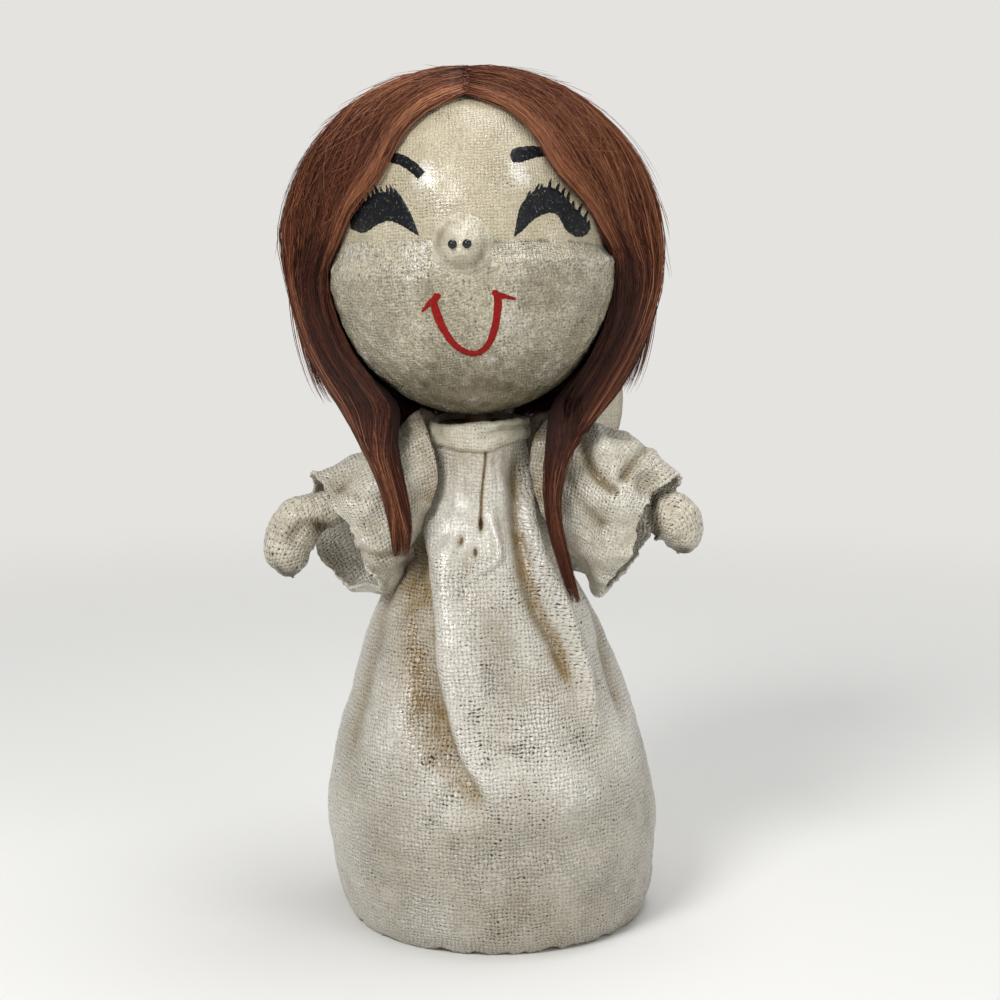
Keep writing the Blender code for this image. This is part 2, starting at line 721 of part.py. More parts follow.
def side_section(level, sign):
    """Crescent of hair beside the lower face at one height."""
    level_drop, front, outermost, rear = level
    height = HEAD_HEIGHT - level_drop
    start, middle, end = Vector(front), Vector(outermost), Vector(rear)
    drop = min(level_drop / CHEEK_DOWN, 1.0)
    inner_middle = Vector((CHEEK_HALF_WIDTH * math.sqrt(1.0 - drop**2) + 3 * CLEARANCE, middle.y))
    last = HAIR_SECTION_POINTS - 1
    inward = Vector((HAIR_EDGE_THICKNESS, 0.0))
    outer = [bow(start, middle, end, step / last) for step in range(last + 1)]
    inner = [bow(start - inward, inner_middle, end - inward, step / last) for step in range(last + 1)]
    return [Vector((sign * point.x, point.y, height)) for point in outer + inner[::-1]]


def lock_section(level):
    """Flattened round section of a lock, its points in the order of the sections above it."""
    level_drop, middle, half_width, half_thickness = level
    height = HEAD_HEIGHT - level_drop
    sign = math.copysign(1.0, middle[0])
    count = 2 * HAIR_SECTION_POINTS
    ring = []
    for step in range(count):
        angle = math.pi * (0.5 - (2 * step + 1) / count)
        across = half_width * math.cos(angle)
        ring.append(Vector((middle[0] + sign * across, middle[1] - half_thickness * math.sin(angle), height)))
    return ring


def build_hair_side(name, sign, lock, collection):
    """Hair of one side: over the crown from the part, down beside the face and into its lock."""
    rings = [crown_section(90.0 * step / HAIR_CROWN_RINGS, sign) for step in range(HAIR_CROWN_RINGS + 1)]
    rings += [side_section(level, sign) for level in HAIR_SIDE]
    rings += [lock_section(level) for level in lock]
    return add_mesh(name, loft_mesh(name, rings), collection, HAIR_AUBURN)


def build_hair_back(collection, cutters):
    """Hair on the back of the head, level with the side hair at the split."""
    middle = HEAD_HEIGHT + CLEARANCE
    ratio = HAIR_HALF_DEPTH / HAIR_RADIUS
    back_reach = (FACE_HALF_WIDTH * HEAD_DEPTH_RATIO + CLEARANCE) / ratio
    cup_reach = (CHEEK_HALF_WIDTH * HEAD_DEPTH_RATIO + CLEARANCE) / ratio
    profile = arc(HAIR_RADIUS, HAIR_RADIUS, middle, 90, 0, HEAD_ARC_STEPS)
    profile += [
        (HAIR_RADIUS, (middle + HEAD_HEIGHT - HAIR_BACK_DROP) / 2),
        (HAIR_BACK_FOOT_RADIUS, HEAD_HEIGHT - HAIR_BACK_DROP),
        (HAIR_BACK_FOOT_RADIUS - 2 * HAIR_EDGE_THICKNESS, HEAD_HEIGHT - HAIR_BACK_DROP),
        (cup_reach, HEAD_HEIGHT),
    ]
    profile += arc(back_reach, FACE_UP + CLEARANCE, middle + CLEARANCE, 0, 90, HEAD_ARC_STEPS)
    hair = turned("hair_back", profile, collection, HAIR_AUBURN, depth_ratio=ratio)
    shape = bmesh.new()
    reach = 4 * HAIR_RADIUS
    bmesh.ops.create_cube(shape, size=reach)
    mesh = bpy.data.meshes.new("hair_split_cutter")
    shape.to_mesh(mesh)
    shape.free()
    box = add_cutter("hair_split_cutter", mesh, cutters)
    box.location = (0.0, HAIR_SPLIT + CLEARANCE - reach / 2, HEAD_HEIGHT)
    cut(hair, box)
    return hair


# Sleeves, hands and wings


def shoulder_gap(height):
    """Distance from the leaning axis to a sleeve's shoulder end at a height."""
    return max(gown_radius(height) + highest_fold(height), COLLAR_RADIUS) + 2 * CLEARANCE


def sleeve_mesh(name, cuff):
    """Bell tube from the bodice to a slanted, waved cuff."""
    (top_x, top_z), (foot_x, foot_z) = cuff
    shoulder_top = GOWN_TOP + SLEEVE_SHOULDER_RISE
    shoulder_middle = GOWN_TOP + (SLEEVE_SHOULDER_RISE - SLEEVE_SHOULDER_DROP) / 2
    cuff_middle = GOWN_TOP + (top_z + foot_z) / 2
    sign = math.copysign(1.0, top_x)
    rings = []
    for row in range(SLEEVE_RINGS):
        share = row / (SLEEVE_RINGS - 1)
        ring = []
        for side in range(SLEEVE_SIDES):
            turn = -sign * 2 * math.pi * side / SLEEVE_SIDES
            up = math.cos(turn)
            wave = SLEEVE_WAVE_DEPTH * share * math.cos(SLEEVE_WAVES * turn + SLEEVE_WAVE_START)
            shoulder_z = shoulder_middle + up * (shoulder_top - shoulder_middle)
            shoulder = Vector((
                axis_x(shoulder_z) + sign * shoulder_gap(shoulder_z),
                SLEEVE_SHOULDER_HALF_DEPTH * math.sin(turn),
                shoulder_z,
            ))
            blend = (1.0 - up) / 2
            reach = 1.0 + wave / SLEEVE_CUFF_HALF_DEPTH
            edge = Vector((
                top_x + (foot_x - top_x) * blend,
                SLEEVE_CUFF_HALF_DEPTH * math.sin(turn) * reach,
                cuff_middle + up * (top_z - foot_z) / 2 * reach,
            ))
            ring.append(shoulder.lerp(edge, share))
        rings.append(ring)
    return loft_mesh(name, rings, close_ends=False)


def build_sleeve(name, cuff, collection):
    """One stiff bell sleeve, open at both ends."""
    sleeve = add_mesh(name, sleeve_mesh(name, cuff), collection, CLOTH_CREAM)
    thick = sleeve.modifiers.new("cloth", "SOLIDIFY")
    thick.thickness = SLEEVE_THICKNESS
    thick.offset = -1.0
    return sleeve


def build_hand(name, sections, collection):
    """Mitten hand that hooks down, as rings square to its bent middle line."""
    middles = [from_shoulder(middle) for middle, _ in sections]
    rings = []
    for index, (_, radius) in enumerate(sections):
        before = middles[max(index - 1, 0)]
        after = middles[min(index + 1, len(middles) - 1)]
        along = (after - before).normalized()
        forward = Vector((0.0, -1.0, 0.0))
        across = along.cross(forward).normalized()
        forward = across.cross(along)
        ring = []
        for side in range(HAND_SIDES):
            turn = 2 * math.pi * side / HAND_SIDES
            ring.append(middles[index] + radius * (math.cos(turn) * across + math.sin(turn) * forward))
        rings.append(ring)
    return add_mesh(name, loft_mesh(name, rings), collection, CLOTH_HAND)


def build_wing(name, sign, sweep, collection):
    """Stiff cloth wing: a rounded flat outline, swept back from the bodice."""
    data = bpy.data.curves.new(name, "CURVE")
    data.dimensions = "2D"
    data.fill_mode = "BOTH"
    data.extrude = WING_THICKNESS / 2
    data.resolution_u = 3
    spline = data.splines.new("BEZIER")
    spline.bezier_points.add(len(WING_OUTLINE) - 1)
    for point, (out, up) in zip(spline.bezier_points, WING_OUTLINE):
        point.co = (sign * out, up, 0.0)
        point.handle_left_type = "AUTO"
        point.handle_right_type = "AUTO"
    spline.use_cyclic_u = True
    wing = bpy.data.objects.new(name, data)
    collection.objects.link(wing)
    data.materials.append(material(name, CLOTH_CREAM))
    turn = math.radians(sweep)
    root_foot = WING_ROOT_HEIGHT + WING_OUTLINE[0][1]
    root_turn = math.asin(WING_ROOT_OUT / gown_radius(root_foot))
    fold = fold_depth(sign * (180.0 - math.degrees(root_turn)), root_foot)
    bodice_back = (gown_radius(root_foot) - fold) * math.cos(root_turn)
    root_y = bodice_back + CLEARANCE + WING_THICKNESS / 2
    wing.location = (axis_x(WING_ROOT_HEIGHT) + sign * WING_ROOT_OUT, root_y, WING_ROOT_HEIGHT)
    wing.rotation_euler = (math.radians(90), 0.0, sign * turn)
    return wing


def add_axis(name, place, collection):
    """Empty on the leaning axis, its Z along the axis."""
    axis = bpy.data.objects.new(name, None)
    axis.location = place
    axis.rotation_euler.y = -LEAN
    collection.objects.link(axis)
    return axis


def build():
    """Build the doll."""
    clear_scene()
    parts = new_collection("angel_figurine")
    cutters = new_collection("angel_figurine_cutters")

    lean_axis = add_axis("lean_axis", (0.0, 0.0, 0.0), parts)

    base = build_base_disc(parts)
    core = build_body_core(parts)
    dress = build_dress(parts)
    peg = add_mesh("neck_dowel", peg_mesh("neck_dowel", PEG_RADIUS), parts, PEG_WOOD)
    wire = add_mesh("arm_wire", wire_mesh("arm_wire", WIRE_RADIUS, 0.0), parts, WIRE_STEEL, 0.9)
    wire.data.shade_smooth()
    hand_left = build_hand("hand_left", HAND_LEFT, parts)
    hand_right = build_hand("hand_right", HAND_RIGHT, parts)
    build_sleeve("sleeve_left", SLEEVE_LEFT_CUFF, parts)
    build_sleeve("sleeve_right", SLEEVE_RIGHT_CUFF, parts)
    build_wing("wing_left", -1.0, WING_SWEEP_LEFT, parts)
    build_wing("wing_right", 1.0, WING_SWEEP_RIGHT, parts)

    bore_radius = PEG_RADIUS + CLEARANCE
    peg_bore = add_cutter("peg_bore_cutter", peg_mesh("peg_bore_cutter", bore_radius), cutters)
    wire_bore = add_cutter(
        "wire_bore_cutter", wire_mesh("wire_bore_cutter", WIRE_RADIUS + CLEARANCE, CLEARANCE), cutters,
    )
    cut(base, peg_bore)
    cut(core, peg_bore)
    for pierced in (core, peg, dress, hand_left, hand_right):
        cut(pierced, wire_bore)

    leaning = [peg, peg_bore, build_collar_band(parts)]
    head = [build_head_core(parts), build_face_cloth(parts), build_cheek_pad(parts)]
    head.append(build_nose(parts, cutters))
    for side, place in zip(("left", "right"), pin_places()):
        head.append(build_pin(side, place, parts))
    head.append(build_hair_side("hair_left", -1.0, LOCK_LEFT, parts))
    head.append(build_hair_side("hair_right", 1.0, LOCK_RIGHT, parts))
    head.append(build_hair_back(parts, cutters))
    head += [cutter for cutter in cutters.objects if cutter not in (peg_bore, wire_bore)]
    for piece in leaning + head:
        piece.parent = lean_axis


build()
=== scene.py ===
"""Looks of the cloth angel doll: woven cloth stiffened with glue, painted face, long fibre hair."""

import json
import math
from functools import partial

import bmesh
import bpy
import numpy as np
from bpy.props import FloatProperty, FloatVectorProperty, IntProperty, PointerProperty
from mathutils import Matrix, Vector, noise
from mathutils.bvhtree import BVHTree


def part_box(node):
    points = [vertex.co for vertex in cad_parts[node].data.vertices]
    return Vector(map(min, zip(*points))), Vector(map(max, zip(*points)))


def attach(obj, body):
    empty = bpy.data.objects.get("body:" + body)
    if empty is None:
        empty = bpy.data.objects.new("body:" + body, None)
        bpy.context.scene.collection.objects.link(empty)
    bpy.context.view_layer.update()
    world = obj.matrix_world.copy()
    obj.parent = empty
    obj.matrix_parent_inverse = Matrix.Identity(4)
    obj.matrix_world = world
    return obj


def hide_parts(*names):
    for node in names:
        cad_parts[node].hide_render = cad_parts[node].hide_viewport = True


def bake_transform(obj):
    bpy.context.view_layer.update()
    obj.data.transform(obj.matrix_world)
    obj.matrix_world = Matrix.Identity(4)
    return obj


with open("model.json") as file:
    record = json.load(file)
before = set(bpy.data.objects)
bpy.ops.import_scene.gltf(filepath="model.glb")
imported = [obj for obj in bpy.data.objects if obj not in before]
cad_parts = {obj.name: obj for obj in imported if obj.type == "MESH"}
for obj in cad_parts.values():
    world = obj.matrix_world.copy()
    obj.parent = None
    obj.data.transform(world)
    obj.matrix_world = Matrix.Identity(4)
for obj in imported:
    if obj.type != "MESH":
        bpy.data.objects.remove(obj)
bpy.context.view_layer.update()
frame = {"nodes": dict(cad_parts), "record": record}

bl_info = {
    "name": "Cloth Angel Doll",
    "version": (1, 0, 0),
    "blender": (4, 5, 0),
    "location": "View3D > Sidebar > Doll",
    "description": "Dresses the frame of a cloth angel doll with its cloth, paint and hair",
    "category": "Object",
}

# Shapes are worked out in millimetres and turned to metres when a mesh is made
MM = 0.001

# Points of a mesh nearer than these, in metres, become one
ROW_MERGE = 0.00001
RING_MERGE = 0.00002

# The neck's joint gives the lean of the figure
NECK_AXIS = Vector(frame["record"]["behaviour"]["joints"][0]["axis"])
LEAN = math.atan2(-NECK_AXIS.x, NECK_AXIS.z)
LEAN_TURN = np.array([
    [math.cos(LEAN), 0.0, -math.sin(LEAN)],
    [0.0, 1.0, 0.0],
    [math.sin(LEAN), 0.0, math.cos(LEAN)],
])


def upright_box(node):
    """Lowest and highest corner of a CAD node in the leaning figure's own upright frame, in mm."""
    mesh = frame["nodes"][node].data
    points = np.empty(len(mesh.vertices) * 3)
    mesh.vertices.foreach_get("co", points)
    points = points.reshape(-1, 3) / MM @ LEAN_TURN
    return points.min(axis=0), points.max(axis=0)


CHEEK_LOW, CHEEK_HIGH = upright_box("cheek_pad")
_, FACE_HIGH = upright_box("face_cloth")
COLLAR_LOW, COLLAR_HIGH = upright_box("collar_band")
NOSE_LOW, NOSE_HIGH = upright_box("nose")
HEAD_MIDDLE = CHEEK_HIGH[2]
CHEEK_SIZE = np.array([CHEEK_HIGH[0], CHEEK_HIGH[1], HEAD_MIDDLE - CHEEK_LOW[2] + 0.6])
FACE_SIZE = np.array([FACE_HIGH[0], FACE_HIGH[1], FACE_HIGH[2] - HEAD_MIDDLE])
GOWN_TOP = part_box("dress")[1][2] / MM
# The cheek cup's opening at the neck and its thickness, and how far the nose's cloth spreads on the face
CUP_NECK = 7.0
CUP_THICK = 1.2
NOSE_REACH = 10.0

# Gown: height and radius of the cloth's outer side, from the hem up
GOWN_PROFILE = [
    (0.0, 44.6), (5.0, 46.8), (16.0, 48.8), (32.0, 50.0), (48.0, 47.8), (64.0, 43.2), (80.0, 38.2),
    (95.0, 32.6), (104.0, 28.2), (113.0, 23.4), (122.0, 18.6), (131.0, 15.4), (140.2, 14.2),
]
# Folds: depth in mm, where less than nought stands out; reach in mm to the left and to the right of its
# line; and the line's (height, degrees from the front) from the top down
GOWN_FOLDS = [
    (4.6, 10.0, 2.6, [(139, -95), (130, -88), (120, -73), (111, -50), (97, -34), (83, -27), (70, -20),
                      (58, -13), (53, -8), (47, -3)]),
    (-1.7, 2.4, 6.0, [(139, -72), (130, -65), (120, -48), (108, -28), (94, -19), (80, -16), (66, -12),
                      (56, -6), (49, 1), (43, 4)]),
    (3.4, 4.0, 2.4, [(143, 58), (133, 51), (122, 40), (113, 34), (104, 31), (96, 33), (88, 38), (76, 40)]),
    (-3.0, 2.2, 3.2, [(143, 84), (133, 72), (125, 53), (114, 45), (102, 46), (87, 47), (66, 47)]),
    (1.8, 4.0, 6.0, [(134, 104), (110, 92), (80, 72), (60, 68)]),
    (-2.5, 1.8, 1.4, [(127, 9), (121, 11), (115, 12.6), (111.6, 8), (108, -6), (104, -16)]),
    (1.6, 3.0, 2.0, [(118, -6), (108, -13), (98, -12)]),
    (1.6, 7.0, 7.0, [(135, -108), (92, -70), (50, -66)]),
    (2.6, 8.0, 8.0, [(138, 112), (90, 115), (45, 116)]),
    (2.6, 8.0, 8.0, [(138, -114), (90, -116), (45, -114)]),
    (2.6, 7.0, 7.0, [(138, 142), (90, 152), (40, 154)]),
    (2.4, 7.0, 7.0, [(138, -140), (90, -149), (40, -150)]),
]
# A fold starts a little above its line and ends a little below it, and fades out over a height at each end
FOLD_OVER_TOP = 2.0
FOLD_UNDER_FOOT = 8.0
FOLD_FADE_TOP = 10.0
FOLD_FADE_FOOT = 20.0
# Folds are shallower where the gown is narrower than this radius
FOLD_FULL_RADIUS = 24.0
# Dents, torn holes and places where the threads stand apart: degrees from the front, height, depth in mm,
# where less than nought swells, and reach in mm across and up
GOWN_DENTS = [
    (14.0, 33.5, 1.7, 20.0, 5.0), (29.0, 48.6, -1.8, 13.0, 8.0), (-42.0, 60.0, -1.2, 10.0, 14.0),
    (8.0, 84.0, 1.3, 7.0, 16.0),
]
GOWN_TEARS = [(-0.5, 121.6, 2.4, 0.8, 1.6), (-17.6, 116.9, 2.2, 0.8, 1.4), (-5.4, 113.9, 2.2, 0.8, 1.4)]
GOWN_LOOSE = [
    (0.9, 82.0, 1.2, 2.6, 2.2), (1.5, 77.5, 0.9, 2.2, 2.6), (8.0, 61.2, 1.0, 4.0, 1.8),
    (-0.3, 57.7, 1.0, 2.2, 1.6), (14.5, 61.3, 0.8, 3.4, 2.6), (37.0, 61.4, 0.9, 3.0, 3.0),
    (54.0, 76.0, 0.9, 2.6, 2.2), (48.0, 88.7, 0.9, 1.8, 4.0), (-13.5, 103.5, 0.7, 1.4, 1.4),
    (-22.8, 56.8, 1.1, 2.0, 2.0), (-15.6, 47.7, 0.8, 3.0, 2.4), (-20.0, 41.0, 0.8, 2.6, 2.0),
    (-13.0, 34.0, 0.8, 2.0, 3.4), (-5.5, 69.7, 0.8, 2.0, 3.0), (24.0, 70.0, 0.6, 9.0, 8.0),
]
# Seam down the bodice: height and degrees from the front, from the top down
GOWN_SEAM = [(144.0, 8.0), (139.9, 7.2), (131.7, 2.3), (124.0, -0.3), (118.0, -0.6)]
SEAM_DEPTH = 0.8
SEAM_REACH = 0.42
SEAM_FOOT = 117.0
SEAM_FADE = 6.0
# Gathers under the collar: how many, how deep, and where they start on the way up
GATHERS = 23
GATHER_DEPTH = 0.1
GATHER_FOOT = 112.0
GATHER_FADE = 20.0
# The gown runs up under the collar, and its hem has fine rows of points and turns in underneath
GOWN_UNDER_COLLAR = 6.0
HEM_HEIGHT = 6.0
HEM_ROWS = 8
HEM_TURN_IN = 6.0

# Hair: reach of the hair ball from the head's middle over the crown and back, how far back the side hair
# goes, and how thick the hair is at its edges
HAIR_REACH = 56.3
HAIR_HALF_DEPTH = 50.0
HAIR_SPLIT = 28.0
HAIR_EDGE = 1.4
# Rows from the part to the lock's tip and columns from the face back, passes that smooth the rows, and the
# rows that the soft body of hair under the strands takes up
HAIR_ROWS = 90
HAIR_COLUMNS = 25
HAIR_SMOOTHING = 7
HAIR_MASS_ROWS = 84
# Layers of strands on each side: name, range of depth as a share from the outer to the inner side, and tone,
# which is lower in the deeper layers as painted shade
HAIR_LAYERS = [("over", (0.0, 0.28), 0.48), ("top", (-0.06, 0.14), 0.6), ("under", (0.2, 1.05), 0.36)]
# Share of the strands that stray before the hairline, and the clumps that the others gather in
HAIR_WISPS = 0.1
HAIR_CLUMPS = 90
# Hairline: degrees from the part and degrees forward of the crown
HAIRLINE = [(0.0, 22.0), (15.0, 26.0), (30.0, 30.5), (48.0, 34.0), (90.0, 12.0)]
# Hair beside the lower face: drop below the head's middle, and its front, outermost and rear (across, back)
HAIR_SIDE = [
    (8.0, (43.4, -8.0), (56.8, 6.0), (46.0, 27.0)),
    (21.0, (39.6, -11.0), (54.5, 3.0), (44.0, 23.5)),
    (32.0, (33.2, -14.0), (49.5, -1.0), (39.5, 17.0)),
    (41.0, (25.4, -19.0), (44.0, -8.0), (33.0, 6.0)),
]
# Locks: drop below the head's middle, middle (across, back), half width and half thickness
LOCK_LEFT = [
    (50.0, (-29.6, -18.0), 7.2, 5.5), (60.0, (-26.0, -20.8), 5.4, 4.8), (69.0, (-24.0, -22.2), 4.6, 4.0),
    (77.0, (-23.1, -22.6), 4.0, 3.2), (84.0, (-23.6, -22.6), 2.2, 1.8),
]
LOCK_RIGHT = [
    (49.0, (25.8, -17.8), 7.2, 5.5), (57.0, (22.4, -20.0), 4.4, 4.6), (66.0, (20.8, -21.8), 3.0, 3.6),
    (74.5, (20.9, -23.0), 2.5, 3.1), (83.0, (22.6, -25.0), 2.2, 2.7), (98.0, (26.4, -29.0), 1.4, 1.2),
]

# Hands: middle, with its height from the gown's top, and radius, from the wrist to the tip
HAND_LEFT = [
    ((-45.0, -2.6, -14.6), 5.0),
    ((-52.0, -3.4, -17.2), 6.0),
    ((-59.0, -4.4, -20.6), 7.5),
    ((-62.3, -5.0, -27.2), 7.4),
    ((-61.8, -5.0, -33.7), 5.4),
    ((-61.0, -5.0, -37.2), 1.6),
]
HAND_RIGHT = [
    ((40.0, -2.6, -16.0), 5.0),
    ((46.0, -3.6, -17.6), 6.0),
    ((52.0, -4.8, -19.0), 8.2),
    ((55.0, -5.0, -23.2), 7.2),
    ((55.0, -5.0, -27.7), 4.4),
    ((54.5, -5.0, -29.7), 1.4),
]

# Sleeves: rings from the shoulder to the cuff. Each point is a pixel of the photograph (across, down)
# and a depth in mm, from the top of the ring over its front and bottom to its rear
SLEEVE_RINGS = {
    "left": [
        [(422, 410, 0), (428, 432, -11), (438, 478, -15), (426, 518, -16), (412, 552, -9), (438, 556, 5),
         (450, 480, 10), (444, 424, 8)],
        [(366, 452, -2), (371, 470, -14), (388, 508, -19), (400, 550, -18), (400, 578, -9), (394, 586, 4),
         (384, 530, 12), (372, 468, 8)],
        [(337, 466, -3), (343, 490, -14), (360, 524, -20), (372, 560, -20), (388, 585, -11), (372, 592, 3),
         (346, 548, 12), (336, 480, 8)],
        [(315, 474, -4), (333, 505, -13), (351, 530, -18), (359, 556, -19), (376, 583, -16), (352, 586, 2),
         (319, 556, 12), (312, 500, 8)],
    ],
    "right": [
        [(560, 410, 0), (536, 432, -9), (531, 474, -11), (541, 512, -13), (562, 548, -8), (530, 556, 6),
         (514, 480, 11), (520, 424, 9)],
        [(616, 429, -2), (602, 452, -14), (592, 490, -19), (586, 538, -18), (583, 568, -9), (592, 570, 4),
         (606, 500, 12), (615, 445, 8)],
        [(649, 446, -3), (634, 465, -14), (617, 500, -20), (604, 550, -19), (592, 588, -11), (602, 586, 3),
         (628, 520, 12), (648, 464, 8)],
        [(681, 474, -4), (658, 491, -13), (641, 514, -18), (631, 556, -18), (600, 593, -13), (620, 580, 2),
         (652, 532, 12), (676, 490, 8)],
    ],
}

# The sleeves' cloth is a little thinner than the gown's
SLEEVE_THINNER = 0.9

# Bends and tips of the hands, pressed in and darkened with painted shade: depth in mm, reach in pixels and
# line in pixels of the photograph
HAND_CREASES = {
    "left": [
        (1.7, 7.0, [(290, 538), (298, 527), (310, 523), (325, 529)]),
        (1.2, 6.0, [(276, 571), (286, 577), (295, 573)]),
    ],
    "right": [
        (1.2, 5.0, [(662, 546), (672, 552), (686, 552)]),
        (1.5, 5.0, [(653, 498), (650, 515), (655, 532)]),
    ],
}

# Creases of the sleeves: depth in mm, where less than nought stands out; reach in pixels; and the
# crease's line in the photograph as (pixel across, pixel down)
# A crease that sinks in is also darkened with painted shade
SLEEVE_CREASES = {
    "left": [
        (1.2, 6.0, [(338, 488), (364, 499), (386, 498)]),
        (1.6, 5.0, [(359, 551), (379, 557), (400, 553)]),
        (-1.0, 7.0, [(312, 480), (330, 508), (352, 530)]),
    ],
    "right": [
        (2.2, 5.0, [(581, 438), (590, 466), (602, 482), (614, 490)]),
        (1.6, 6.0, [(614, 490), (629, 470), (646, 449)]),
        (-1.4, 8.0, [(596, 432), (611, 460), (618, 486)]),
        (1.0, 5.0, [(566, 476), (582, 504), (602, 526)]),
    ],
}

# Wings: outline out from the root and up
WING_OUTLINE = [
    (0.0, -6.0), (12.0, -11.0), (27.0, -9.0), (38.0, 4.0), (45.5, 20.0), (45.0, 33.0), (36.0, 33.0),
    (18.0, 20.0), (0.0, 13.0),
]
# The wing's middle in its outline, its root's drop below the gown's top and distance from the back's
# middle, and its thickness
WING_CENTRE = (22.0, 9.0)
WING_DROP = 15.2
WING_ASIDE = 4.5
WING_THICK = 1.8

# The camera of the photograph: place in mm, pitch in degrees, lens in mm on a 36 mm frame
CAMERA_PLACE = (1.2, -600.0, 222.0)
CAMERA_PITCH = 9.07
CAMERA_LENS = 72.65
SENSOR = 36.0
PHOTO_SIZE = 1000

# Floor: how far it runs flat, the radius of the bend that lifts it, and its drop under the doll, in mm
FLOOR_REACH = 1100.0
FLOOR_BEND = 700.0
FLOOR_DROP = 0.05
# Lights: name, place and size in mm, and share of the key light's power; all point at one place
LIGHTS = [
    ("key", (-440.0, -680.0, 820.0), 380.0, 1.0),
    ("fill", (750.0, -700.0, 600.0), 800.0, 0.4),
    ("top", (150.0, 100.0, 1100.0), 600.0, 0.7),
]
LIGHT_TARGET = (0.0, 0.0, 140.0)
ROOM_LIGHT = 0.36

# Paint in pixels of the photograph: the upper and the lower edge of each eye and brow, from left to right
EYE_EDGES = {
    "left": (
        [(350, 218), (358, 209), (367, 200), (377, 193), (388, 192), (398, 193), (405, 203), (412, 216),
         (419, 235)],
        [(351, 229), (362, 233), (370, 230), (377, 225), (388, 221), (396, 223), (404, 227), (412, 232),
         (419, 236)],
    ),
    "right": (
        [(514, 235), (517, 219), (520, 207), (528, 196), (538, 189), (549, 187), (559, 191), (567, 199),
         (575, 208), (584, 218), (590, 227)],
        [(514, 237), (522, 231), (530, 223), (538, 217), (549, 213), (557, 215), (562, 223), (567, 231),
         (577, 237), (586, 235), (590, 229)],
    ),
}
BROW_EDGES = {
    "left": ([(383, 156), (388, 153), (401, 154), (415, 162), (425, 172)],
             [(383, 159), (388, 162), (399, 165), (409, 171), (418, 179)]),
    "right": ([(510, 155), (512, 150), (519, 147), (534, 146), (548, 148)],
              [(511, 158), (513, 162), (522, 162), (534, 158), (547, 156)]),
}
# Lashes: shares along the eye's upper edge between which they stand, and their lean outwards
LASHES = {"left": (0.06, 0.62, -0.5), "right": (0.30, 0.97, 0.5)}
LASH_COUNT = 11
# Spacing of the points of a patch of paint along it and across it, in pixels
PAINT_ROW_PIXELS = 1.6
PAINT_COLUMN_PIXELS = 2.0
# Mouth strokes: (across, down, width)
MOUTH_STROKES = [
    [(436, 293, 3), (434, 303, 7), (438, 317, 8.5), (444, 330, 7.5), (454, 344, 6.5), (466, 352, 6),
     (478, 353, 6), (488, 345, 6.5), (494, 331, 7.5), (497, 315, 7.5), (498, 301, 8), (495, 290, 5)],
    [(422, 312, 2), (428, 305, 5), (435, 299, 7), (440, 294, 4)],
    [(492, 292, 4), (499, 295, 6), (507, 297, 4.5), (516, 299, 2)],
]


# Helpers for shapes


def linear(code):
    """Linear red, green and blue of an sRGB hex colour."""
    channels = [int(code[place:place + 2], 16) / 255 for place in (1, 3, 5)]
    return tuple(c / 12.92 if c <= 0.04045 else ((c + 0.055) / 1.055) ** 2.4 for c in channels)


def solid(code):
    """Linear colour with full cover of an sRGB hex colour."""
    return (*linear(code), 1)


def turns_round(columns, start=0.0):
    """Even turns round a ring from a start, in radians, as one row."""
    return np.linspace(start, start + 2 * math.pi, columns, endpoint=False)[None, :]


def stacked(*parts):
    """Points, places on a map or corners of faces, from one array for each of their numbers."""
    return np.stack(np.broadcast_arrays(*parts), axis=-1)


def unit(vectors):
    """Vectors at a length of one."""
    return vectors / np.maximum(np.linalg.norm(vectors, axis=-1, keepdims=True), 1e-9)


def ease(share):
    """Ease from 0 to 1 with level ends."""
    share = np.clip(share, 0.0, 1.0)
    return share * share * (3.0 - 2.0 * share)


def through(points, count, closed=False):
    """Evenly read a smooth curve through points, as count rows; a closed one runs back to its start."""
    points = np.asarray(points, float)
    if closed:
        padded = np.concatenate([points[-1:], points, points[:2]])
        places = np.linspace(0, len(points), count, endpoint=False)
    else:
        padded = np.concatenate([2 * points[:1] - points[1:2], points, 2 * points[-1:] - points[-2:-1]])
        places = np.linspace(0, len(points) - 1, count)
    index = np.minimum(places.astype(int), len(padded) - 4)
    t = (places - index).reshape((-1,) + (1,) * (points.ndim - 1))
    a, b, c, d = (padded[index + step] for step in range(4))
    return 0.5 * (2 * b + (c - a) * t + (2 * a - 5 * b + 4 * c - d) * t**2 + (3 * b - a - 3 * c + d) * t**3)


def read(profile, places):
    """Read a smooth profile of (place, value) points at many places."""
    points = np.asarray(profile, float)
    dense = through(points, 40 * len(points))
    return np.interp(places, dense[:, 0], dense[:, 1])


def lumps(points, size, seed=0.0, octaves=1):
    """Soft noise from -1 to 1 at points in mm, with bumps of a size in mm."""
    flat = np.asarray(points).reshape(-1, 3) / size + seed
    values = np.fromiter(
        (noise.fractal(Vector(point), 1.0, 2.0, octaves) for point in flat), float, len(flat),
    )
    return values.reshape(np.asarray(points).shape[:-1])


def leaned(points):
    """Turn points of the upright figure to where the leaning figure has them."""
    return np.asarray(points) @ LEAN_TURN.T


def photo_ray(across, down):
    """Direction of the camera's ray through a pixel of the photograph."""
    scale = SENSOR / CAMERA_LENS / PHOTO_SIZE
    x = float(across - PHOTO_SIZE / 2) * scale
    z = float(PHOTO_SIZE / 2 - down) * scale
    pitch = math.radians(CAMERA_PITCH)
    forward = Vector((0.0, math.cos(pitch), -math.sin(pitch)))
    up = Vector((0.0, math.sin(pitch), math.cos(pitch)))
    return (forward + x * Vector((1.0, 0.0, 0.0)) + z * up).normalized()


def photo_place(across, down, depth):
    """Place in mm that a pixel of the photograph shows at a depth along Y."""
    ray = photo_ray(across, down)
    return np.array(Vector(CAMERA_PLACE) + ray * ((depth - CAMERA_PLACE[1]) / ray.y))


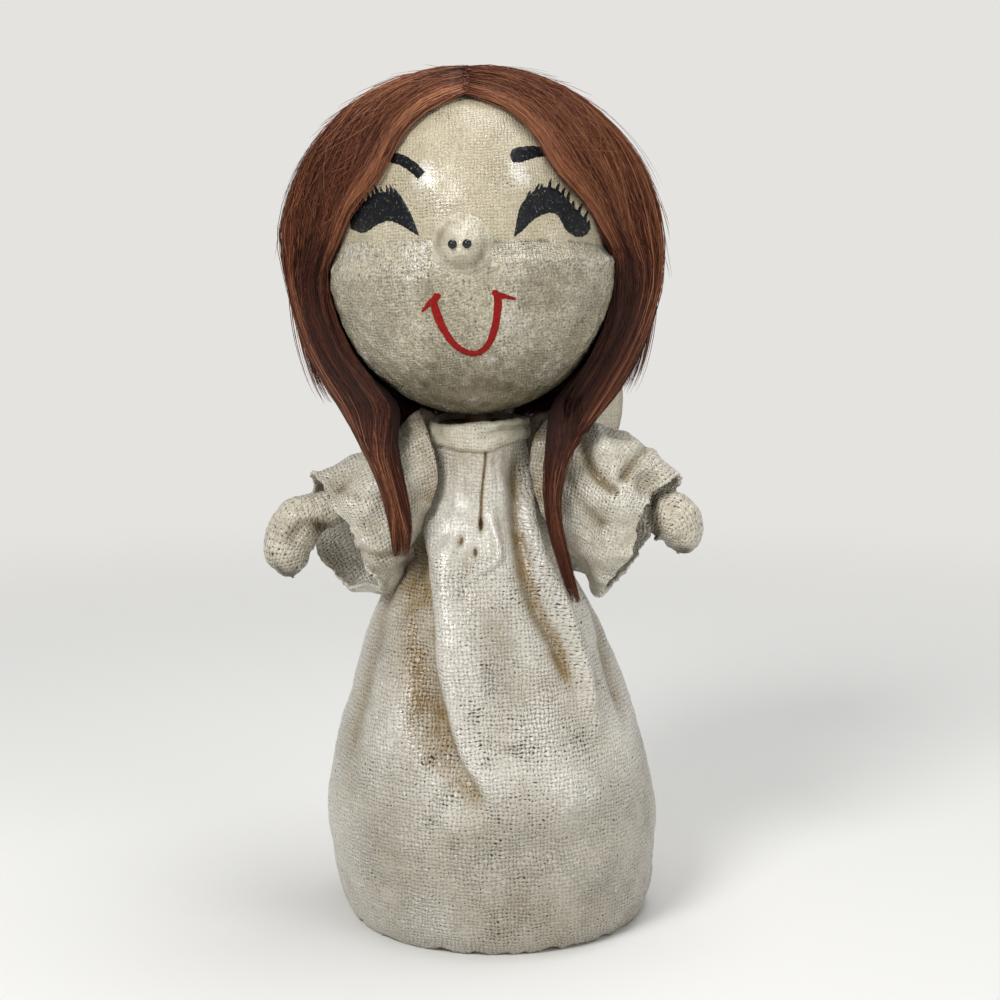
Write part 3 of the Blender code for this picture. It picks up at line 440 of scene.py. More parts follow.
def photo_pixels(points):
    """Pixels of the photograph, across and down, that points in mm fall on."""
    away = points - np.array(CAMERA_PLACE)
    pitch = math.radians(CAMERA_PITCH)
    depth = away[..., 1] * math.cos(pitch) - away[..., 2] * math.sin(pitch)
    rise = away[..., 1] * math.sin(pitch) + away[..., 2] * math.cos(pitch)
    scale = PHOTO_SIZE * CAMERA_LENS / SENSOR / depth
    return stacked(PHOTO_SIZE / 2 + scale * away[..., 0], PHOTO_SIZE / 2 - scale * rise)


def creases(points, lines):
    """Depth in mm of creases that run along lines of the photograph, on the side that faces it."""
    pixels = photo_pixels(points)
    depth = np.zeros(points.shape[:2])
    for deepest, reach, line in lines:
        dense = through(line, 24)
        away = np.linalg.norm(pixels[:, :, None] - dense, axis=3).min(axis=2)
        depth = depth + deepest * np.exp(-((away / reach) ** 2))
    return depth * ease((4.0 - points[..., 1]) / 6.0)


def grid_normals(points, wrap=True):
    """Unit normals of a grid of points."""
    closed = np.concatenate([points[:, -1:], points, points[:, :1]], axis=1) if wrap else points
    along = np.gradient(closed, axis=1)
    along = along[:, 1:-1] if wrap else along
    return unit(np.cross(along, np.gradient(points, axis=0)))


def around(radius, turn, height):
    """Points of rings about the upright axis, at turns in radians from the front."""
    return stacked(radius * np.sin(turn), -radius * np.cos(turn), height)


def finish_piece(piece, body, *nodes):
    """Let a piece ride on a body in place of CAD nodes."""
    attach(piece, body)
    if nodes:
        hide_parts(*nodes)
    return piece


def weld_rows(piece):
    """Close a ring-shaped grid whose last row repeats its first."""
    weld = piece.modifiers.new("close", "WELD")
    weld.merge_threshold = ROW_MERGE


def flip_outwards(piece):
    """Turn a closed or nearly closed surface's faces to point out from its middle."""
    mesh = piece.data
    total = 0.0
    middle = sum((vertex.co for vertex in mesh.vertices), Vector()) / len(mesh.vertices)
    for polygon in mesh.polygons:
        total += polygon.normal.dot(polygon.center - middle) * polygon.area
    if total < 0.0:
        mesh.flip_normals()


def close_ring(piece, columns, last=True):
    """Draw the last ring of a tube to one point and fill its open end, or draw the first ring of a cap."""
    shape = bmesh.new()
    shape.from_mesh(piece.data)
    shape.verts.ensure_lookup_table()
    ring = slice(-columns, None) if last else slice(columns)
    bmesh.ops.remove_doubles(shape, verts=shape.verts[ring], dist=RING_MERGE)
    if last:
        bmesh.ops.holes_fill(shape, edges=[edge for edge in shape.edges if edge.is_boundary])
    bmesh.ops.recalc_face_normals(shape, faces=shape.faces)
    shape.to_mesh(piece.data)
    shape.free()
    piece.data.shade_smooth()


def make_object(name, points, faces, material, uv=None, marks=None):
    """Add a smooth mesh object from points in mm, with a map in mm per corner and marks per point."""
    mesh = bpy.data.meshes.new(name)
    points = np.asarray(points, np.float32).reshape(-1, 3) * MM
    faces = np.asarray(faces, np.int32)
    corners = faces.shape[1]
    mesh.vertices.add(len(points))
    mesh.vertices.foreach_set("co", points.ravel())
    mesh.loops.add(faces.size)
    mesh.loops.foreach_set("vertex_index", faces.ravel())
    mesh.polygons.add(len(faces))
    mesh.polygons.foreach_set("loop_start", np.arange(len(faces), dtype=np.int32) * corners)
    if uv is not None:
        layer = mesh.uv_layers.new(name="thread_map")
        layer.data.foreach_set("uv", np.asarray(uv, np.float32).ravel())
    for mark, values in (marks or {}).items():
        attribute = mesh.attributes.new(mark, "FLOAT", "POINT")
        attribute.data.foreach_set("value", np.asarray(values, np.float32).ravel())
    mesh.update(calc_edges=True)
    mesh.validate()
    mesh.shade_smooth()
    mesh.materials.append(material)
    piece = bpy.data.objects.new(name, mesh)
    bpy.context.scene.collection.objects.link(piece)
    return piece


def grid_faces(rows, columns, wrap):
    """Quads of a grid of points, closed round its columns if wrapped."""
    across = columns if wrap else columns - 1
    down, along = np.meshgrid(np.arange(rows - 1), np.arange(across), indexing="ij")
    after = (along + 1) % columns
    here, below = down * columns, (down + 1) * columns
    return stacked(here + along, here + after, below + after, below + along).reshape(-1, 4)


def grid_object(name, points, material, uv, wrap=True, marks=None):
    """Add a cloth grid. uv has one column more than points where the grid is wrapped."""
    rows, columns = points.shape[:2]
    faces = grid_faces(rows, columns, wrap)
    wide = uv.shape[1]
    down, along = np.divmod(np.arange(len(faces)), columns if wrap else columns - 1)
    first = down * wide + along
    corner = uv.reshape(-1, 2)[stacked(first, first + 1, first + wide + 1, first + wide)]
    return make_object(name, points, faces, material, corner, marks)


def arc_map(points, wrap=True):
    """Thread map of a grid: how far each point lies along its row and down its column, in mm."""
    closed = np.concatenate([points, points[:, :1]], axis=1) if wrap else points
    along = np.linalg.norm(np.diff(closed, axis=1), axis=2)
    along = np.concatenate([np.zeros((len(points), 1)), np.cumsum(along, axis=1)], axis=1)
    middle = along.shape[1] // 2
    along = along - along[:, middle:middle + 1]
    down = np.linalg.norm(np.diff(closed, axis=0), axis=2).mean(axis=1)
    down = np.concatenate([[0.0], np.cumsum(down)])
    return stacked(along, down[:, None])


def thicken(piece, thickness):
    """Give an open cloth its thickness, inwards, in mm."""
    cloth = piece.modifiers.new("thickness", "SOLIDIFY")
    cloth.thickness = thickness * MM
    cloth.offset = -1.0
    return piece


# Helpers for materials


def node(tree, kind, *values, out=0, **settings):
    """Add a shader node, set its settings, set or link its inputs in order or by name, and give an output."""
    made = tree.nodes.new("ShaderNode" + kind)
    named = {key: value for key, value in settings.items() if not hasattr(made, key)}
    for key, value in settings.items():
        if key not in named:
            setattr(made, key, value)
    for key, value in list(enumerate(values)) + list(named.items()):
        if isinstance(value, bpy.types.NodeSocket):
            tree.links.new(value, made.inputs[key])
        else:
            made.inputs[key].default_value = value
    return made.outputs[out]


def new_material(name, **finish):
    """Make a material; give it, its Principled shader and the node-adding function for its tree."""
    made = bpy.data.materials.new(name)
    made.use_nodes = True
    shader = made.node_tree.nodes["Principled BSDF"]
    for key, value in finish.items():
        shader.inputs[key.replace("_", " ")].default_value = value
    return made, shader, partial(node, made.node_tree)


def wire_up(made, shader, **sockets):
    """Link sockets to the shader's inputs by name."""
    for key, socket in sockets.items():
        made.node_tree.links.new(socket, shader.inputs[key.replace("_", " ")])
    return made


def stiff_weave(name, pale, grey, dirt_shade_colour, pitch, relief=1.0, holes=0.5, fill=0.75, grain=0.35, specks=0.3,
                seed=0.0):
    """Plain-woven cotton soaked in plaster glue and varnished.

    It gives the eye a weave half drowned in plaster, with dark pits of uneven size where threads
    cross, grainy clots, brown dirt and painted shade in the folds, and small varnish glints with
    painted white glints. Pitch is the thread spacing in metres; fill and holes are shares from 0 to 1.
    The marks of a piece add to it: the dirt and shade mark darkens with dirt and painted shade, the
    painted light mark greys with painted shade and below nought pales with a painted highlight, loose
    opens the weave, or below nought drowns it, and the gloss mark varnishes and paints white glints.
    """
    made, shader, add = new_material(name, IOR=1.5, Coat_Roughness=0.16)
    place = add("VectorMath", add("TexCoord", out=3), (seed, seed, seed), operation="ADD")

    # Thread counts from the map in mm, with the threads wandering over 6 mm and 1.9 mm
    every = (MM / pitch, MM / pitch, 0.0)
    counts = add("VectorMath", add("UVMap", uv_map="thread_map"), every, operation="MULTIPLY")
    for size, sway in ((6.0, 2.1), (1.9, 1.15)):
        drift = add("TexNoise", place, Scale=1 / (size * MM), out=1)
        drift = add("VectorMath", drift, (0.5, 0.5, 0.5), operation="SUBTRACT")
        counts = add("VectorMath", drift, (sway, sway, 0.0), counts, operation="MULTIPLY_ADD")
    turns = add("VectorMath", counts, (math.pi, math.pi, 0.0), operation="MULTIPLY")
    wave = add("SeparateXYZ", add("VectorMath", turns, operation="SINE"))
    warp = add("Math", wave, operation="ABSOLUTE")
    weft = add("Math", wave.node.outputs[1], operation="ABSOLUTE")
    over = add("MapRange", add("Math", wave, wave.node.outputs[1], operation="MULTIPLY"), -0.3, 0.3, 0.5, 1.0)
    under = add("Math", 1.5, over, operation="SUBTRACT")
    threads = add("Math", add("Math", warp, over, operation="MULTIPLY"),
                  add("Math", weft, under, operation="MULTIPLY"), operation="MAXIMUM")

    # Plaster fills the weave in patches about 11 mm wide, and clots in grains about 1.5 mm wide
    patches = add("TexNoise", place, Scale=1 / (11 * MM), Detail=4.0, Roughness=0.6)
    apart = add("Attribute", attribute_name="loose", out=2)
    drowned = add("MapRange", patches, 0.3, 0.7, fill - 0.35, fill + 0.25)
    drowned = add("Math", apart, -0.45, drowned, operation="MULTIPLY_ADD", use_clamp=True)
    grains = add("TexNoise", place, Scale=1 / (1.5 * MM), Detail=4.0, Roughness=0.6)
    level = add("MixRGB", drowned, threads, (0.85, 0.85, 0.85, 1.0))
    height = add("Math", grains, grain, level, operation="MULTIPLY_ADD")

    # Pits at the crossings: each crossing draws its own size, larger in open patches
    nearest = add("VectorMath", counts, (0.5, 0.5, 0.0), operation="ADD")
    nearest = add("VectorMath", nearest, operation="FLOOR")
    draw = add("Math", add("TexWhiteNoise", nearest), 3.5, operation="POWER")
    loose = add("TexNoise", place, Scale=1 / (15 * MM), Detail=3.0, Roughness=0.6)
    loose = add("MapRange", loose, 0.62 - 0.3 * holes, 0.86 - 0.3 * holes, 0.3, 1.0)
    loose = add("Math", apart, 0.7, loose, operation="MULTIPLY_ADD")
    size = add("Math", add("Math", draw, 0.5, 0.22, operation="MULTIPLY_ADD"), loose, operation="MULTIPLY")
    stretched = add("VectorMath", turns, operation="SINE")
    stretched = add("VectorMath", stretched, (0.8, 1.2, 0.0), operation="MULTIPLY")
    far = add("VectorMath", stretched, operation="LENGTH", out=1)
    pit = add("MapRange", add("Math", size, far, operation="SUBTRACT"), -0.2, 0.2)

    # Colour: two pale tones, dirt and painted shade where the folds and hollows are, painted white glints,
    # and dark pits
    tone = add("TexNoise", place, Scale=1 / (22 * MM), Detail=5.0, Roughness=0.65)
    tone = add("MapRange", tone, 0.35, 0.68)
    # Painted shade: the painted light mark greys the tone, and below nought pales it as a painted highlight
    tone = add("Math", add("Attribute", attribute_name="painted_light_and_shade", out=2), tone, use_clamp=True)
    colour = add("MixRGB", tone, solid(pale), solid(grey))
    mottle = add("TexNoise", place, Scale=1 / (0.8 * MM), Detail=4.0, Roughness=0.7)
    mottle = add("MapRange", mottle, 0.36, 0.62, 1.0 - 0.5 * specks, 1.0 + 0.1 * specks)
    colour = add("VectorMath", colour, Scale=mottle, operation="SCALE")
    hollow = add("MapRange", height, 0.45, 1.0, 0.5, 0.0)
    fleck = add("TexNoise", place, Scale=1 / (0.9 * MM), Detail=3.0, Roughness=0.6)
    fleck = add("MapRange", fleck, 0.58, 0.7, 0.0, specks)
    cloud = add("TexNoise", place, Scale=1 / (7 * MM), Detail=5.0, Roughness=0.65)
    # Dirt and painted shade: the dirt and shade mark, with dirt in the weave's hollows, darkens the colour
    soil_and_shade = add("Math", add("Attribute", attribute_name="dirt_and_shade", out=2),
               add("MapRange", cloud, 0.32, 0.66, 0.55, 1.1), hollow, operation="MULTIPLY_ADD")
    dirt_shade_amount = add("Math", soil_and_shade, fleck, operation="MAXIMUM", use_clamp=True)
    colour = add("MixRGB", dirt_shade_amount, colour, solid(dirt_shade_colour))
    # Painted highlight: where the gloss mark meets raised grains the colour is mixed toward white as glints
    gloss_and_painted_glint = add("Attribute", attribute_name="gloss_and_painted_glint", out=2)
    painted_white_glint = add("MapRange", add("Math", gloss_and_painted_glint, grains, operation="MULTIPLY"), 0.3, 0.6, 0.0, 0.55)
    colour = add("MixRGB", painted_white_glint, colour, solid("#f4f1ea"))
    torn = add("MapRange", add("Attribute", attribute_name="dirt_and_shade", out=2), 1.0, 2.0, 0.0, 0.9)
    dark = add("Math", pit, torn, operation="MAXIMUM")
    colour = add("MixRGB", dark, colour, solid("#332c20"))
    deep = add("Math", pit, -0.9, height, operation="MULTIPLY_ADD")

    # The relief shows half the thread spacing deep, and the varnish film levels most of it
    bump = add("Bump", Strength=1.0, Distance=0.5 * pitch * relief, Height=deep)
    film = add("Bump", Strength=0.25, Distance=0.5 * pitch * relief, Height=deep)
    gloss = add("MapRange", add("TexNoise", place, Scale=1 / (2.6 * MM), Detail=3.0), 0.35, 0.65, 0.5, 0.22)
    gloss = add("Math", gloss_and_painted_glint, -0.18, gloss, operation="MULTIPLY_ADD")
    coat = add("Math", gloss_and_painted_glint, 0.5, 0.35, operation="MULTIPLY_ADD")
    return wire_up(made, shader, Base_Color=colour, Roughness=gloss, Normal=bump, Coat_Weight=coat,
                   Coat_Normal=film)


def enamel(name, colour, under, roughness=0.25):
    """Brushed enamel over cloth: a deep gloss colour, with threads standing bare in a few worn specks."""
    made, shader, add = new_material(name, Roughness=roughness, IOR=1.28)
    place = add("TexCoord", out=3)
    brush = add("TexNoise", place, Scale=1 / (0.9 * MM), Detail=3.0)
    tone = add("MapRange", brush, 0.3, 0.7, 0.7, 1.15)
    shade = add("VectorMath", linear(colour), Scale=tone, operation="SCALE")
    worn = add("TexNoise", place, Scale=1 / (0.7 * MM), Detail=4.0, Roughness=0.7)
    worn = add("MapRange", worn, 0.6, 0.68, 0.0, 0.7)
    shade = add("MixRGB", worn, shade, solid(under))
    bump = add("Bump", Strength=0.7, Distance=0.25 * MM, Height=brush)
    return wire_up(made, shader, Base_Color=shade, Normal=bump)


def fibre_hair(name, dark, middle, bright, streaks, roughness=0.5):
    """Straight synthetic fibre: auburn strands of mixed tone with a satin gloss along them.

    Streaks is the width of its streaks, on the map across the strands.
    """
    made, shader, add = new_material(name, Roughness=roughness, IOR=1.35)
    tone = add("Attribute", attribute_name="tone", out=2)
    stretch = add("UVMap", uv_map="thread_map")
    stretch = add("VectorMath", stretch, (1 / streaks, 0.012, 1.0), operation="MULTIPLY")
    streak = add("TexNoise", stretch, Scale=1.0, Detail=4.0)
    ramp = add("ValToRGB", add("Math", add("Math", streak, tone, operation="ADD"), 0.5, operation="MULTIPLY"))
    stops = ramp.node.color_ramp.elements
    stops[0].position = 0.22
    stops[0].color = solid(dark)
    stops[1].position = 0.78
    stops[1].color = solid(bright)
    half = stops.new(0.5)
    half.color = solid(middle)
    bump = add("Bump", Strength=0.7, Distance=0.25 * MM, Height=streak)
    return wire_up(made, shader, Base_Color=ramp, Normal=bump)


def plain_grain(name, light, dark, grain, stretch=(1.0, 1.0, 1.0), roughness=0.7, metallic=0.0):
    """A plain stuff with a grain of a size in mm: pressed board, foam beads, dowel wood or drawn wire."""
    made, shader, add = new_material(name, Roughness=roughness, Metallic=metallic)
    place = add("VectorMath", add("TexCoord", out=3), stretch, operation="MULTIPLY")
    speck = add("TexNoise", place, Scale=1 / (grain * MM), Detail=4.0)
    colour = add("MixRGB", add("MapRange", speck, 0.35, 0.65), solid(light), solid(dark))
    bump = add("Bump", Strength=0.4, Distance=0.2 * grain * MM, Height=speck)
    return wire_up(made, shader, Base_Color=colour, Normal=bump)


# Settings


def length_property(name, description, default):
    """A length that a user can set, in metres."""
    return FloatProperty(name=name, description=description, default=default, unit="LENGTH", precision=5)


class ClothSettings(bpy.types.PropertyGroup):
    """Sizes of the stiffened cloths."""

    gown_pitch: length_property("Gown thread spacing", "Thread spacing of the gown", 1.2 * MM)
    face_pitch: length_property("Gauze thread spacing", "Thread spacing of the head cloths", 1.0 * MM)
    hand_pitch: length_property("Hand thread spacing", "Thread spacing of the hands", 1.4 * MM)
    thickness: length_property("Cloth thickness", "Thickness of the stiff cloth", 1.3 * MM)


class HairSettings(bpy.types.PropertyGroup):
    """Amount and thickness of the hair."""

    strands: IntProperty(name="Strands", description="Loose strands in each layer of hair", default=1350)
    radius: length_property("Strand radius", "Radius of a strand", 0.1 * MM)


class StageSettings(bpy.types.PropertyGroup):
    """Floor and light."""

    floor: FloatVectorProperty(name="Floor colour", description="Colour of the floor and backdrop",
                               default=linear("#e4e3e0"), subtype="COLOR")
    key: FloatProperty(name="Key light", description="Power of the key light", default=7.5, unit="POWER")


def settings():
    """The scene's settings of cloth, hair and stage."""
    scene = bpy.context.scene
    return scene.doll_cloth, scene.doll_hair, scene.doll_stage


# Cloth of the gown


def axis_place(height):
    """Sideways place of the leaning axis at a height."""
    return -math.tan(LEAN) * height


def gown_fold(angle, height):
    """Depth of the folds at degrees round from the front and at heights, in mm."""
    depth = np.zeros(np.broadcast(angle, height).shape)
    radius = read(GOWN_PROFILE, height)
    for deepest, left_reach, right_reach, line in GOWN_FOLDS:
        top, foot = line[0][0], line[-1][0]
        middle = read(line[::-1], height)
        strength = ease((top + FOLD_OVER_TOP - height) / FOLD_FADE_TOP)
        strength = strength * ease((height - foot + FOLD_UNDER_FOOT) / FOLD_FADE_FOOT)
        strength = strength * np.minimum(1.0, radius / FOLD_FULL_RADIUS)
        offset = np.radians((angle - middle + 180.0) % 360.0 - 180.0) * radius
        reach = np.where(offset < 0.0, left_reach, right_reach)
        depth = depth + deepest * strength * np.exp(-((offset / reach) ** 2))
    return depth


def gown_dents(angle, height, dents):
    """Depth of oval dents at degrees round from the front and at heights, in mm."""
    depth = np.zeros(np.broadcast(angle, height).shape)
    radius = read(GOWN_PROFILE, height)
    for turn, level, deepest, across, up in dents:
        offset = np.radians(angle - turn) * radius
        depth = depth + deepest * np.exp(-((offset / across) ** 2 + ((height - level) / up) ** 2))
    return depth


class DOLL_OT_gown(bpy.types.Operator):
    """Make the gown: one stiff cloth with gathers under the collar, folds and a rough hem"""

    bl_idname = "doll.gown"
    bl_label = "Gown"

    def execute(self, context):
        cloth, _, _ = settings()
        columns = 320
        top = COLLAR_LOW[2] + GOWN_UNDER_COLLAR
        hem_heights = np.linspace(0.0, HEM_HEIGHT, HEM_ROWS)[1:]
        heights = np.concatenate([np.zeros(2), hem_heights, np.linspace(HEM_HEIGHT, top, 140)[1:]])
        angle = np.linspace(-180.0, 180.0, columns, endpoint=False)[None, :]
        height = heights[:, None]
        turn = np.radians(angle)
        smooth = read(GOWN_PROFILE, np.minimum(height, GOWN_TOP))
        smooth = np.broadcast_to(smooth, (len(heights), columns))
        rough = around(smooth, turn, height)
        fold = gown_fold(angle, height)
        dent = gown_dents(angle, height, GOWN_DENTS)
        tear = gown_dents(angle, height, GOWN_TEARS)
        aside = np.radians(angle - read(GOWN_SEAM[::-1], height)) * smooth
        seam = np.exp(-((aside / SEAM_REACH) ** 2)) * ease((height - SEAM_FOOT) / SEAM_FADE)
        gathers = GATHER_DEPTH * np.cos(turn * GATHERS + 2.0 * np.sin(turn * 3))
        gathers = gathers * ease((height - GATHER_FOOT) / GATHER_FADE)
        soft = lumps(rough, 18.0, 3.1) * 0.9 + lumps(rough, 6.0, 7.7, 2) * 0.38
        radius = smooth - fold - dent - tear - SEAM_DEPTH * seam + gathers
        radius = radius + soft * ease(height / 8.0) * ease((top - height) / 8.0)

        # The first row turns in under the hem, and the next rows are ragged
        radius[0] -= HEM_TURN_IN
        hem = lumps(rough[:1] * np.array([1.0, 1.0, 0.0]), 5.0, 1.3, 3)[0]
        fade = np.linspace(1.0, 0.0, HEM_ROWS)[:, None]
        place_z = np.broadcast_to(height, radius.shape).copy()
        place_z[1:HEM_ROWS + 1] += np.clip(1.8 * hem + 0.35, 0.0, 2.0) * fade
        radius[1:HEM_ROWS + 1] += 0.8 * hem * fade
        points = around(radius, turn, place_z)
        points[..., 0] += axis_place(height)
        wide_angle = np.radians(np.linspace(-180.0, 180.0, columns + 1))[None, :]
        run = np.concatenate([[0.0], np.cumsum(np.hypot(np.diff(heights), np.diff(smooth[:, 0])))])
        uv = stacked(wide_angle * smooth[:, :1], run[:, None])
        material = stiff_weave("glue-stiffened cotton, gown", "#efebe0", "#bcb6a8", "#8a7247",
                               cloth.gown_pitch, relief=1.7, holes=0.72, fill=0.64, specks=0.5)
        marks = self.marks(angle, height, rough, fold, dent, tear, seam, soft)
        gown = grid_object("gown_cloth", points, material, uv, marks=marks)
        thicken(gown, cloth.thickness / MM)
        finish_piece(gown, "torso", "dress")
        return {"FINISHED"}

    def marks(self, angle, height, rough, fold, dent, tear, seam, soft):
        """Where dirt and painted shade darken the gown, where painted shade greys it, where its varnish
        shines with painted white glints, and where its threads stand apart.
        """
        # Dirt and painted shade in the folds' valleys, just under the collar and in the hollows between
        # lumps, with random dust, a dark seam and torn holes
        valley = ease(fold / 2.6) * (0.9 - 0.55 * ease((np.abs(angle) - 85.0) / 25.0))
        dusty = 0.22 * ease((lumps(rough, 30.0, 9.2, 2) + 0.05) / 0.6)
        near_collar = 0.15 * ease((height - 134.0) / 6.0)
        dirt_and_shade = np.clip(valley + dusty + near_collar - 0.35 * soft, 0.0, 1.0)
        dirt_and_shade = np.maximum(dirt_and_shade, 1.8 * seam) + np.clip(1.6 * tear - 1.2, 0.0, 2.0)
        # Painted shade greys the lower skirt and the dents
        low_right = ease((64.0 - height) / 50.0) * ease((angle + 80.0) / 80.0)
        painted_light_and_shade = 0.75 * low_right + 0.6 * ease(dent / 1.6)
        # Varnish gloss with painted white glints on the swells and on the ridges of the folds
        gloss_and_painted_glint = np.clip(0.8 * ease(-dent / 1.4) + 0.35 * ease(-fold / 2.0), 0.0, 1.0)
        plaster = ease((height - 104.0) / 16.0) * ease((58.0 - np.abs(angle - 2.0)) / 30.0)
        loose = np.clip(gown_dents(angle, height, GOWN_LOOSE), 0.0, 1.2) - 0.75 * plaster
        return {"dirt_and_shade": dirt_and_shade, "loose": loose, "painted_light_and_shade": painted_light_and_shade, "gloss_and_painted_glint": gloss_and_painted_glint}


class DOLL_OT_collar(bpy.types.Operator):
    """Make the collar: a folded band of the gown's cloth round the neck"""

    bl_idname = "doll.collar"
    bl_label = "Collar"

    def execute(self, context):
        cloth, _, _ = settings()
        columns = 180
        outer = COLLAR_HIGH[0]
        low, high = COLLAR_LOW[2] + 4.2, COLLAR_HIGH[2] + 0.2
        middle = (low + high) / 2
        outline = [
            (outer - 1.4, low + 1.4), (outer - 0.4, low + 0.1), (outer + 0.4, low + 0.2),
            (outer + 0.7, low + 1.4), (outer + 0.6, middle), (outer + 0.4, high - 1.6),
            (outer - 0.2, high - 0.3), (outer - 1.1, high), (outer - 2.0, high - 0.9), (outer - 2.2, middle),
        ]
        profile = through(outline, 52, closed=True)
        turn = turns_round(columns, -math.pi)
        radius = np.broadcast_to(profile[:, :1], (len(profile), columns))
        height = np.broadcast_to(profile[:, 1:], radius.shape)
        rough = around(radius, turn, height)
        swell = 0.5 * lumps(rough, 6.0, 2.2, 2) + 0.25 * lumps(rough, 2.5, 4.2, 2)
        tuck = 0.7 * np.exp(-((height - middle - 1.2 * np.sin(turn * 2.0)) / 0.8) ** 2)
        tuck = tuck * ease((0.2 + turn) / 0.6)
        dip = 2.8 * np.exp(-((turn - 0.05) / 0.7) ** 2)
        lifted = height - dip * ease((high - height) / (high - low)) + 0.5 * np.sin(2 * turn + 0.6)
        lifted = lifted + 0.5 * lumps(rough * np.array([1.0, 1.0, 0.0]), 5.0, 8.8, 2)
        radius = radius + swell - tuck
        points = leaned(around(radius, turn, lifted))
        points = np.concatenate([points, points[:1]])
        # Dirt and painted shade in the hollows between swells, in the tuck and along the top and bottom edges
        edge = ease((low + 1.4 - height) / 1.4) + 0.8 * ease((height - high + 1.0) / 1.2)
        dirt_and_shade = np.clip(0.15 - 0.4 * swell + 0.6 * tuck + 0.5 * edge, 0.0, 1.0)
        dirt_and_shade = np.concatenate([dirt_and_shade, dirt_and_shade[:1]])
        material = stiff_weave("glue-stiffened cotton, collar", "#e6e1d1", "#cfc8b4", "#867348",
                               cloth.gown_pitch * 0.8, holes=0.35, seed=0.31)
        collar = grid_object("collar_cloth", points, material, arc_map(points), marks={"dirt_and_shade": dirt_and_shade})
        weld_rows(collar)
        finish_piece(collar, "torso", "collar_band")
        return {"FINISHED"}


class DOLL_OT_sleeves(bpy.types.Operator):
    """Make the two bell sleeves with their creases and waved cuffs"""

    bl_idname = "doll.sleeves"
    bl_label = "Sleeves"

    def execute(self, context):
        cloth, _, _ = settings()
        material = stiff_weave("glue-stiffened cotton, sleeves", "#e4dfd0", "#cbc4b2", "#83704a",
                               cloth.gown_pitch * 0.95, relief=1.5, holes=0.68, fill=0.68,
                               specks=0.6, seed=0.77)
        rows, columns, frayed_rows = 80, 220, 6
        for side, sign in (("left", -1.0), ("right", 1.0)):
            rings = [[photo_place(*point) for point in ring] for ring in SLEEVE_RINGS[side]]
            points = through([through(ring, columns, closed=True) for ring in rings], rows)
            share = np.linspace(0.0, 1.0, rows)[:, None]
            turn = turns_round(columns)
            out = grid_normals(points)
            out = out * np.sign((out * (points - points.mean(axis=1, keepdims=True))).sum(axis=2).mean())
            pleat = np.cos(6 * turn + 2.5 * share + 2.0 * sign) * 0.8 * ease(share * 2.5)
            ridge = 1.0 - 2.2 * np.abs(lumps(points * np.array([0.6, 1.0, 1.0]), 10.0, 1.7 * sign, 1))
            fine = lumps(points, 4.5, 8.4 + sign, 2)
            crush = lumps(points, 9.0, 4.4 + sign, 2) * 1.1 + 0.4 * fine + np.clip(ridge, 0.0, 1.0) - 0.5
            crease = creases(points, SLEEVE_CREASES[side])
            points = points + out * (pleat + crush - crease)[..., None]
            frayed = lumps(points[-frayed_rows:], 2.5, 5.0, 3) * np.linspace(0.0, 1.0, frayed_rows)[:, None]
            points[-frayed_rows:, :, 0] += sign * 0.8 * frayed
            # Painted shade where the sleeve meets the bodice, and in the creases and the hollows of the
            # crumples, over a little even dirt
            near_bodice = 0.6 * ease((0.25 - share) / 0.25)
            dirt_and_shade = np.clip(0.08 - 0.24 * (pleat + crush) + 0.42 * crease + near_bodice, 0.0, 1.0)
            sleeve = grid_object("sleeve_cloth_" + side, points, material, arc_map(points),
                                 marks={"dirt_and_shade": dirt_and_shade})
            flip_outwards(sleeve)
            thicken(sleeve, SLEEVE_THINNER * cloth.thickness / MM)
            finish_piece(sleeve, "torso", "sleeve_" + side)
        return {"FINISHED"}


class DOLL_OT_hands(bpy.types.Operator):
    """Make the two mitten hands of wrapped cloth"""

    bl_idname = "doll.hands"
    bl_label = "Hands"

    def execute(self, context):
        cloth, _, _ = settings()
        material = stiff_weave("glue-stiffened scrim, hands", "#e2dac8", "#cbc2ac", "#5a4c33",
                               cloth.hand_pitch, relief=1.1, holes=0.8, fill=0.5, grain=0.5,
                               specks=0.5, seed=0.53)
        rows, columns, round_end = 70, 72, 0.07
        for side, sections in (("left", HAND_LEFT), ("right", HAND_RIGHT)):
            data = np.array([(*middle, radius) for middle, radius in sections])
            data[:, 2] += GOWN_TOP
            path = through(data, rows)
            middle, radius = path[:, :3], path[:, 3:4]
            share = np.linspace(0.0, 1.0, rows)
            radius = radius * np.sqrt(np.clip((1.0 - share[:, None]) / round_end, 0, 1))
            along = unit(np.gradient(middle, axis=0))
            across = unit(np.cross(along, np.array([0.0, -1.0, 0.0])))
            forward = np.cross(across, along)
            turn = turns_round(columns)[..., None]
            ring = np.cos(turn) * across[:, None] + np.sin(turn) * forward[:, None] * 1.05
            points = middle[:, None] + radius[:, None] * ring
            bulge = lumps(points, 6.0, 2.6, 2) * 0.55 + lumps(points, 2.6, 5.6, 2) * 0.25
            points = points + ring * (bulge * np.minimum(radius / 4.0, 1.0))[..., None]
            tip = ease((share - 0.62) / 0.3)[:, None]
            under = ease((-ring[..., 2] - 0.1) / 0.9)
            crease = creases(points, HAND_CREASES[side])
            points = points - ring * (0.6 * crease)[..., None]
            # Painted shade darkens the tips, the undersides, the bends and the hollows between lumps
            dirt_and_shade = np.clip(0.08 + 0.6 * tip + 0.4 * under - 0.6 * bulge + 0.5 * crease, 0.0, 1.2)
            hand = grid_object("hand_cloth_" + side, points, material, arc_map(points),
                               marks={"dirt_and_shade": dirt_and_shade})
            close_ring(hand, columns)
            flip_outwards(hand)
            finish_piece(hand, "torso", "hand_" + side)
        return {"FINISHED"}


# Head


def head_direction(turn, rise):
    """Directions of the head's surface: turn round from the front and rise from the level, in radians."""
    return around(np.cos(rise), turn, np.sin(rise))


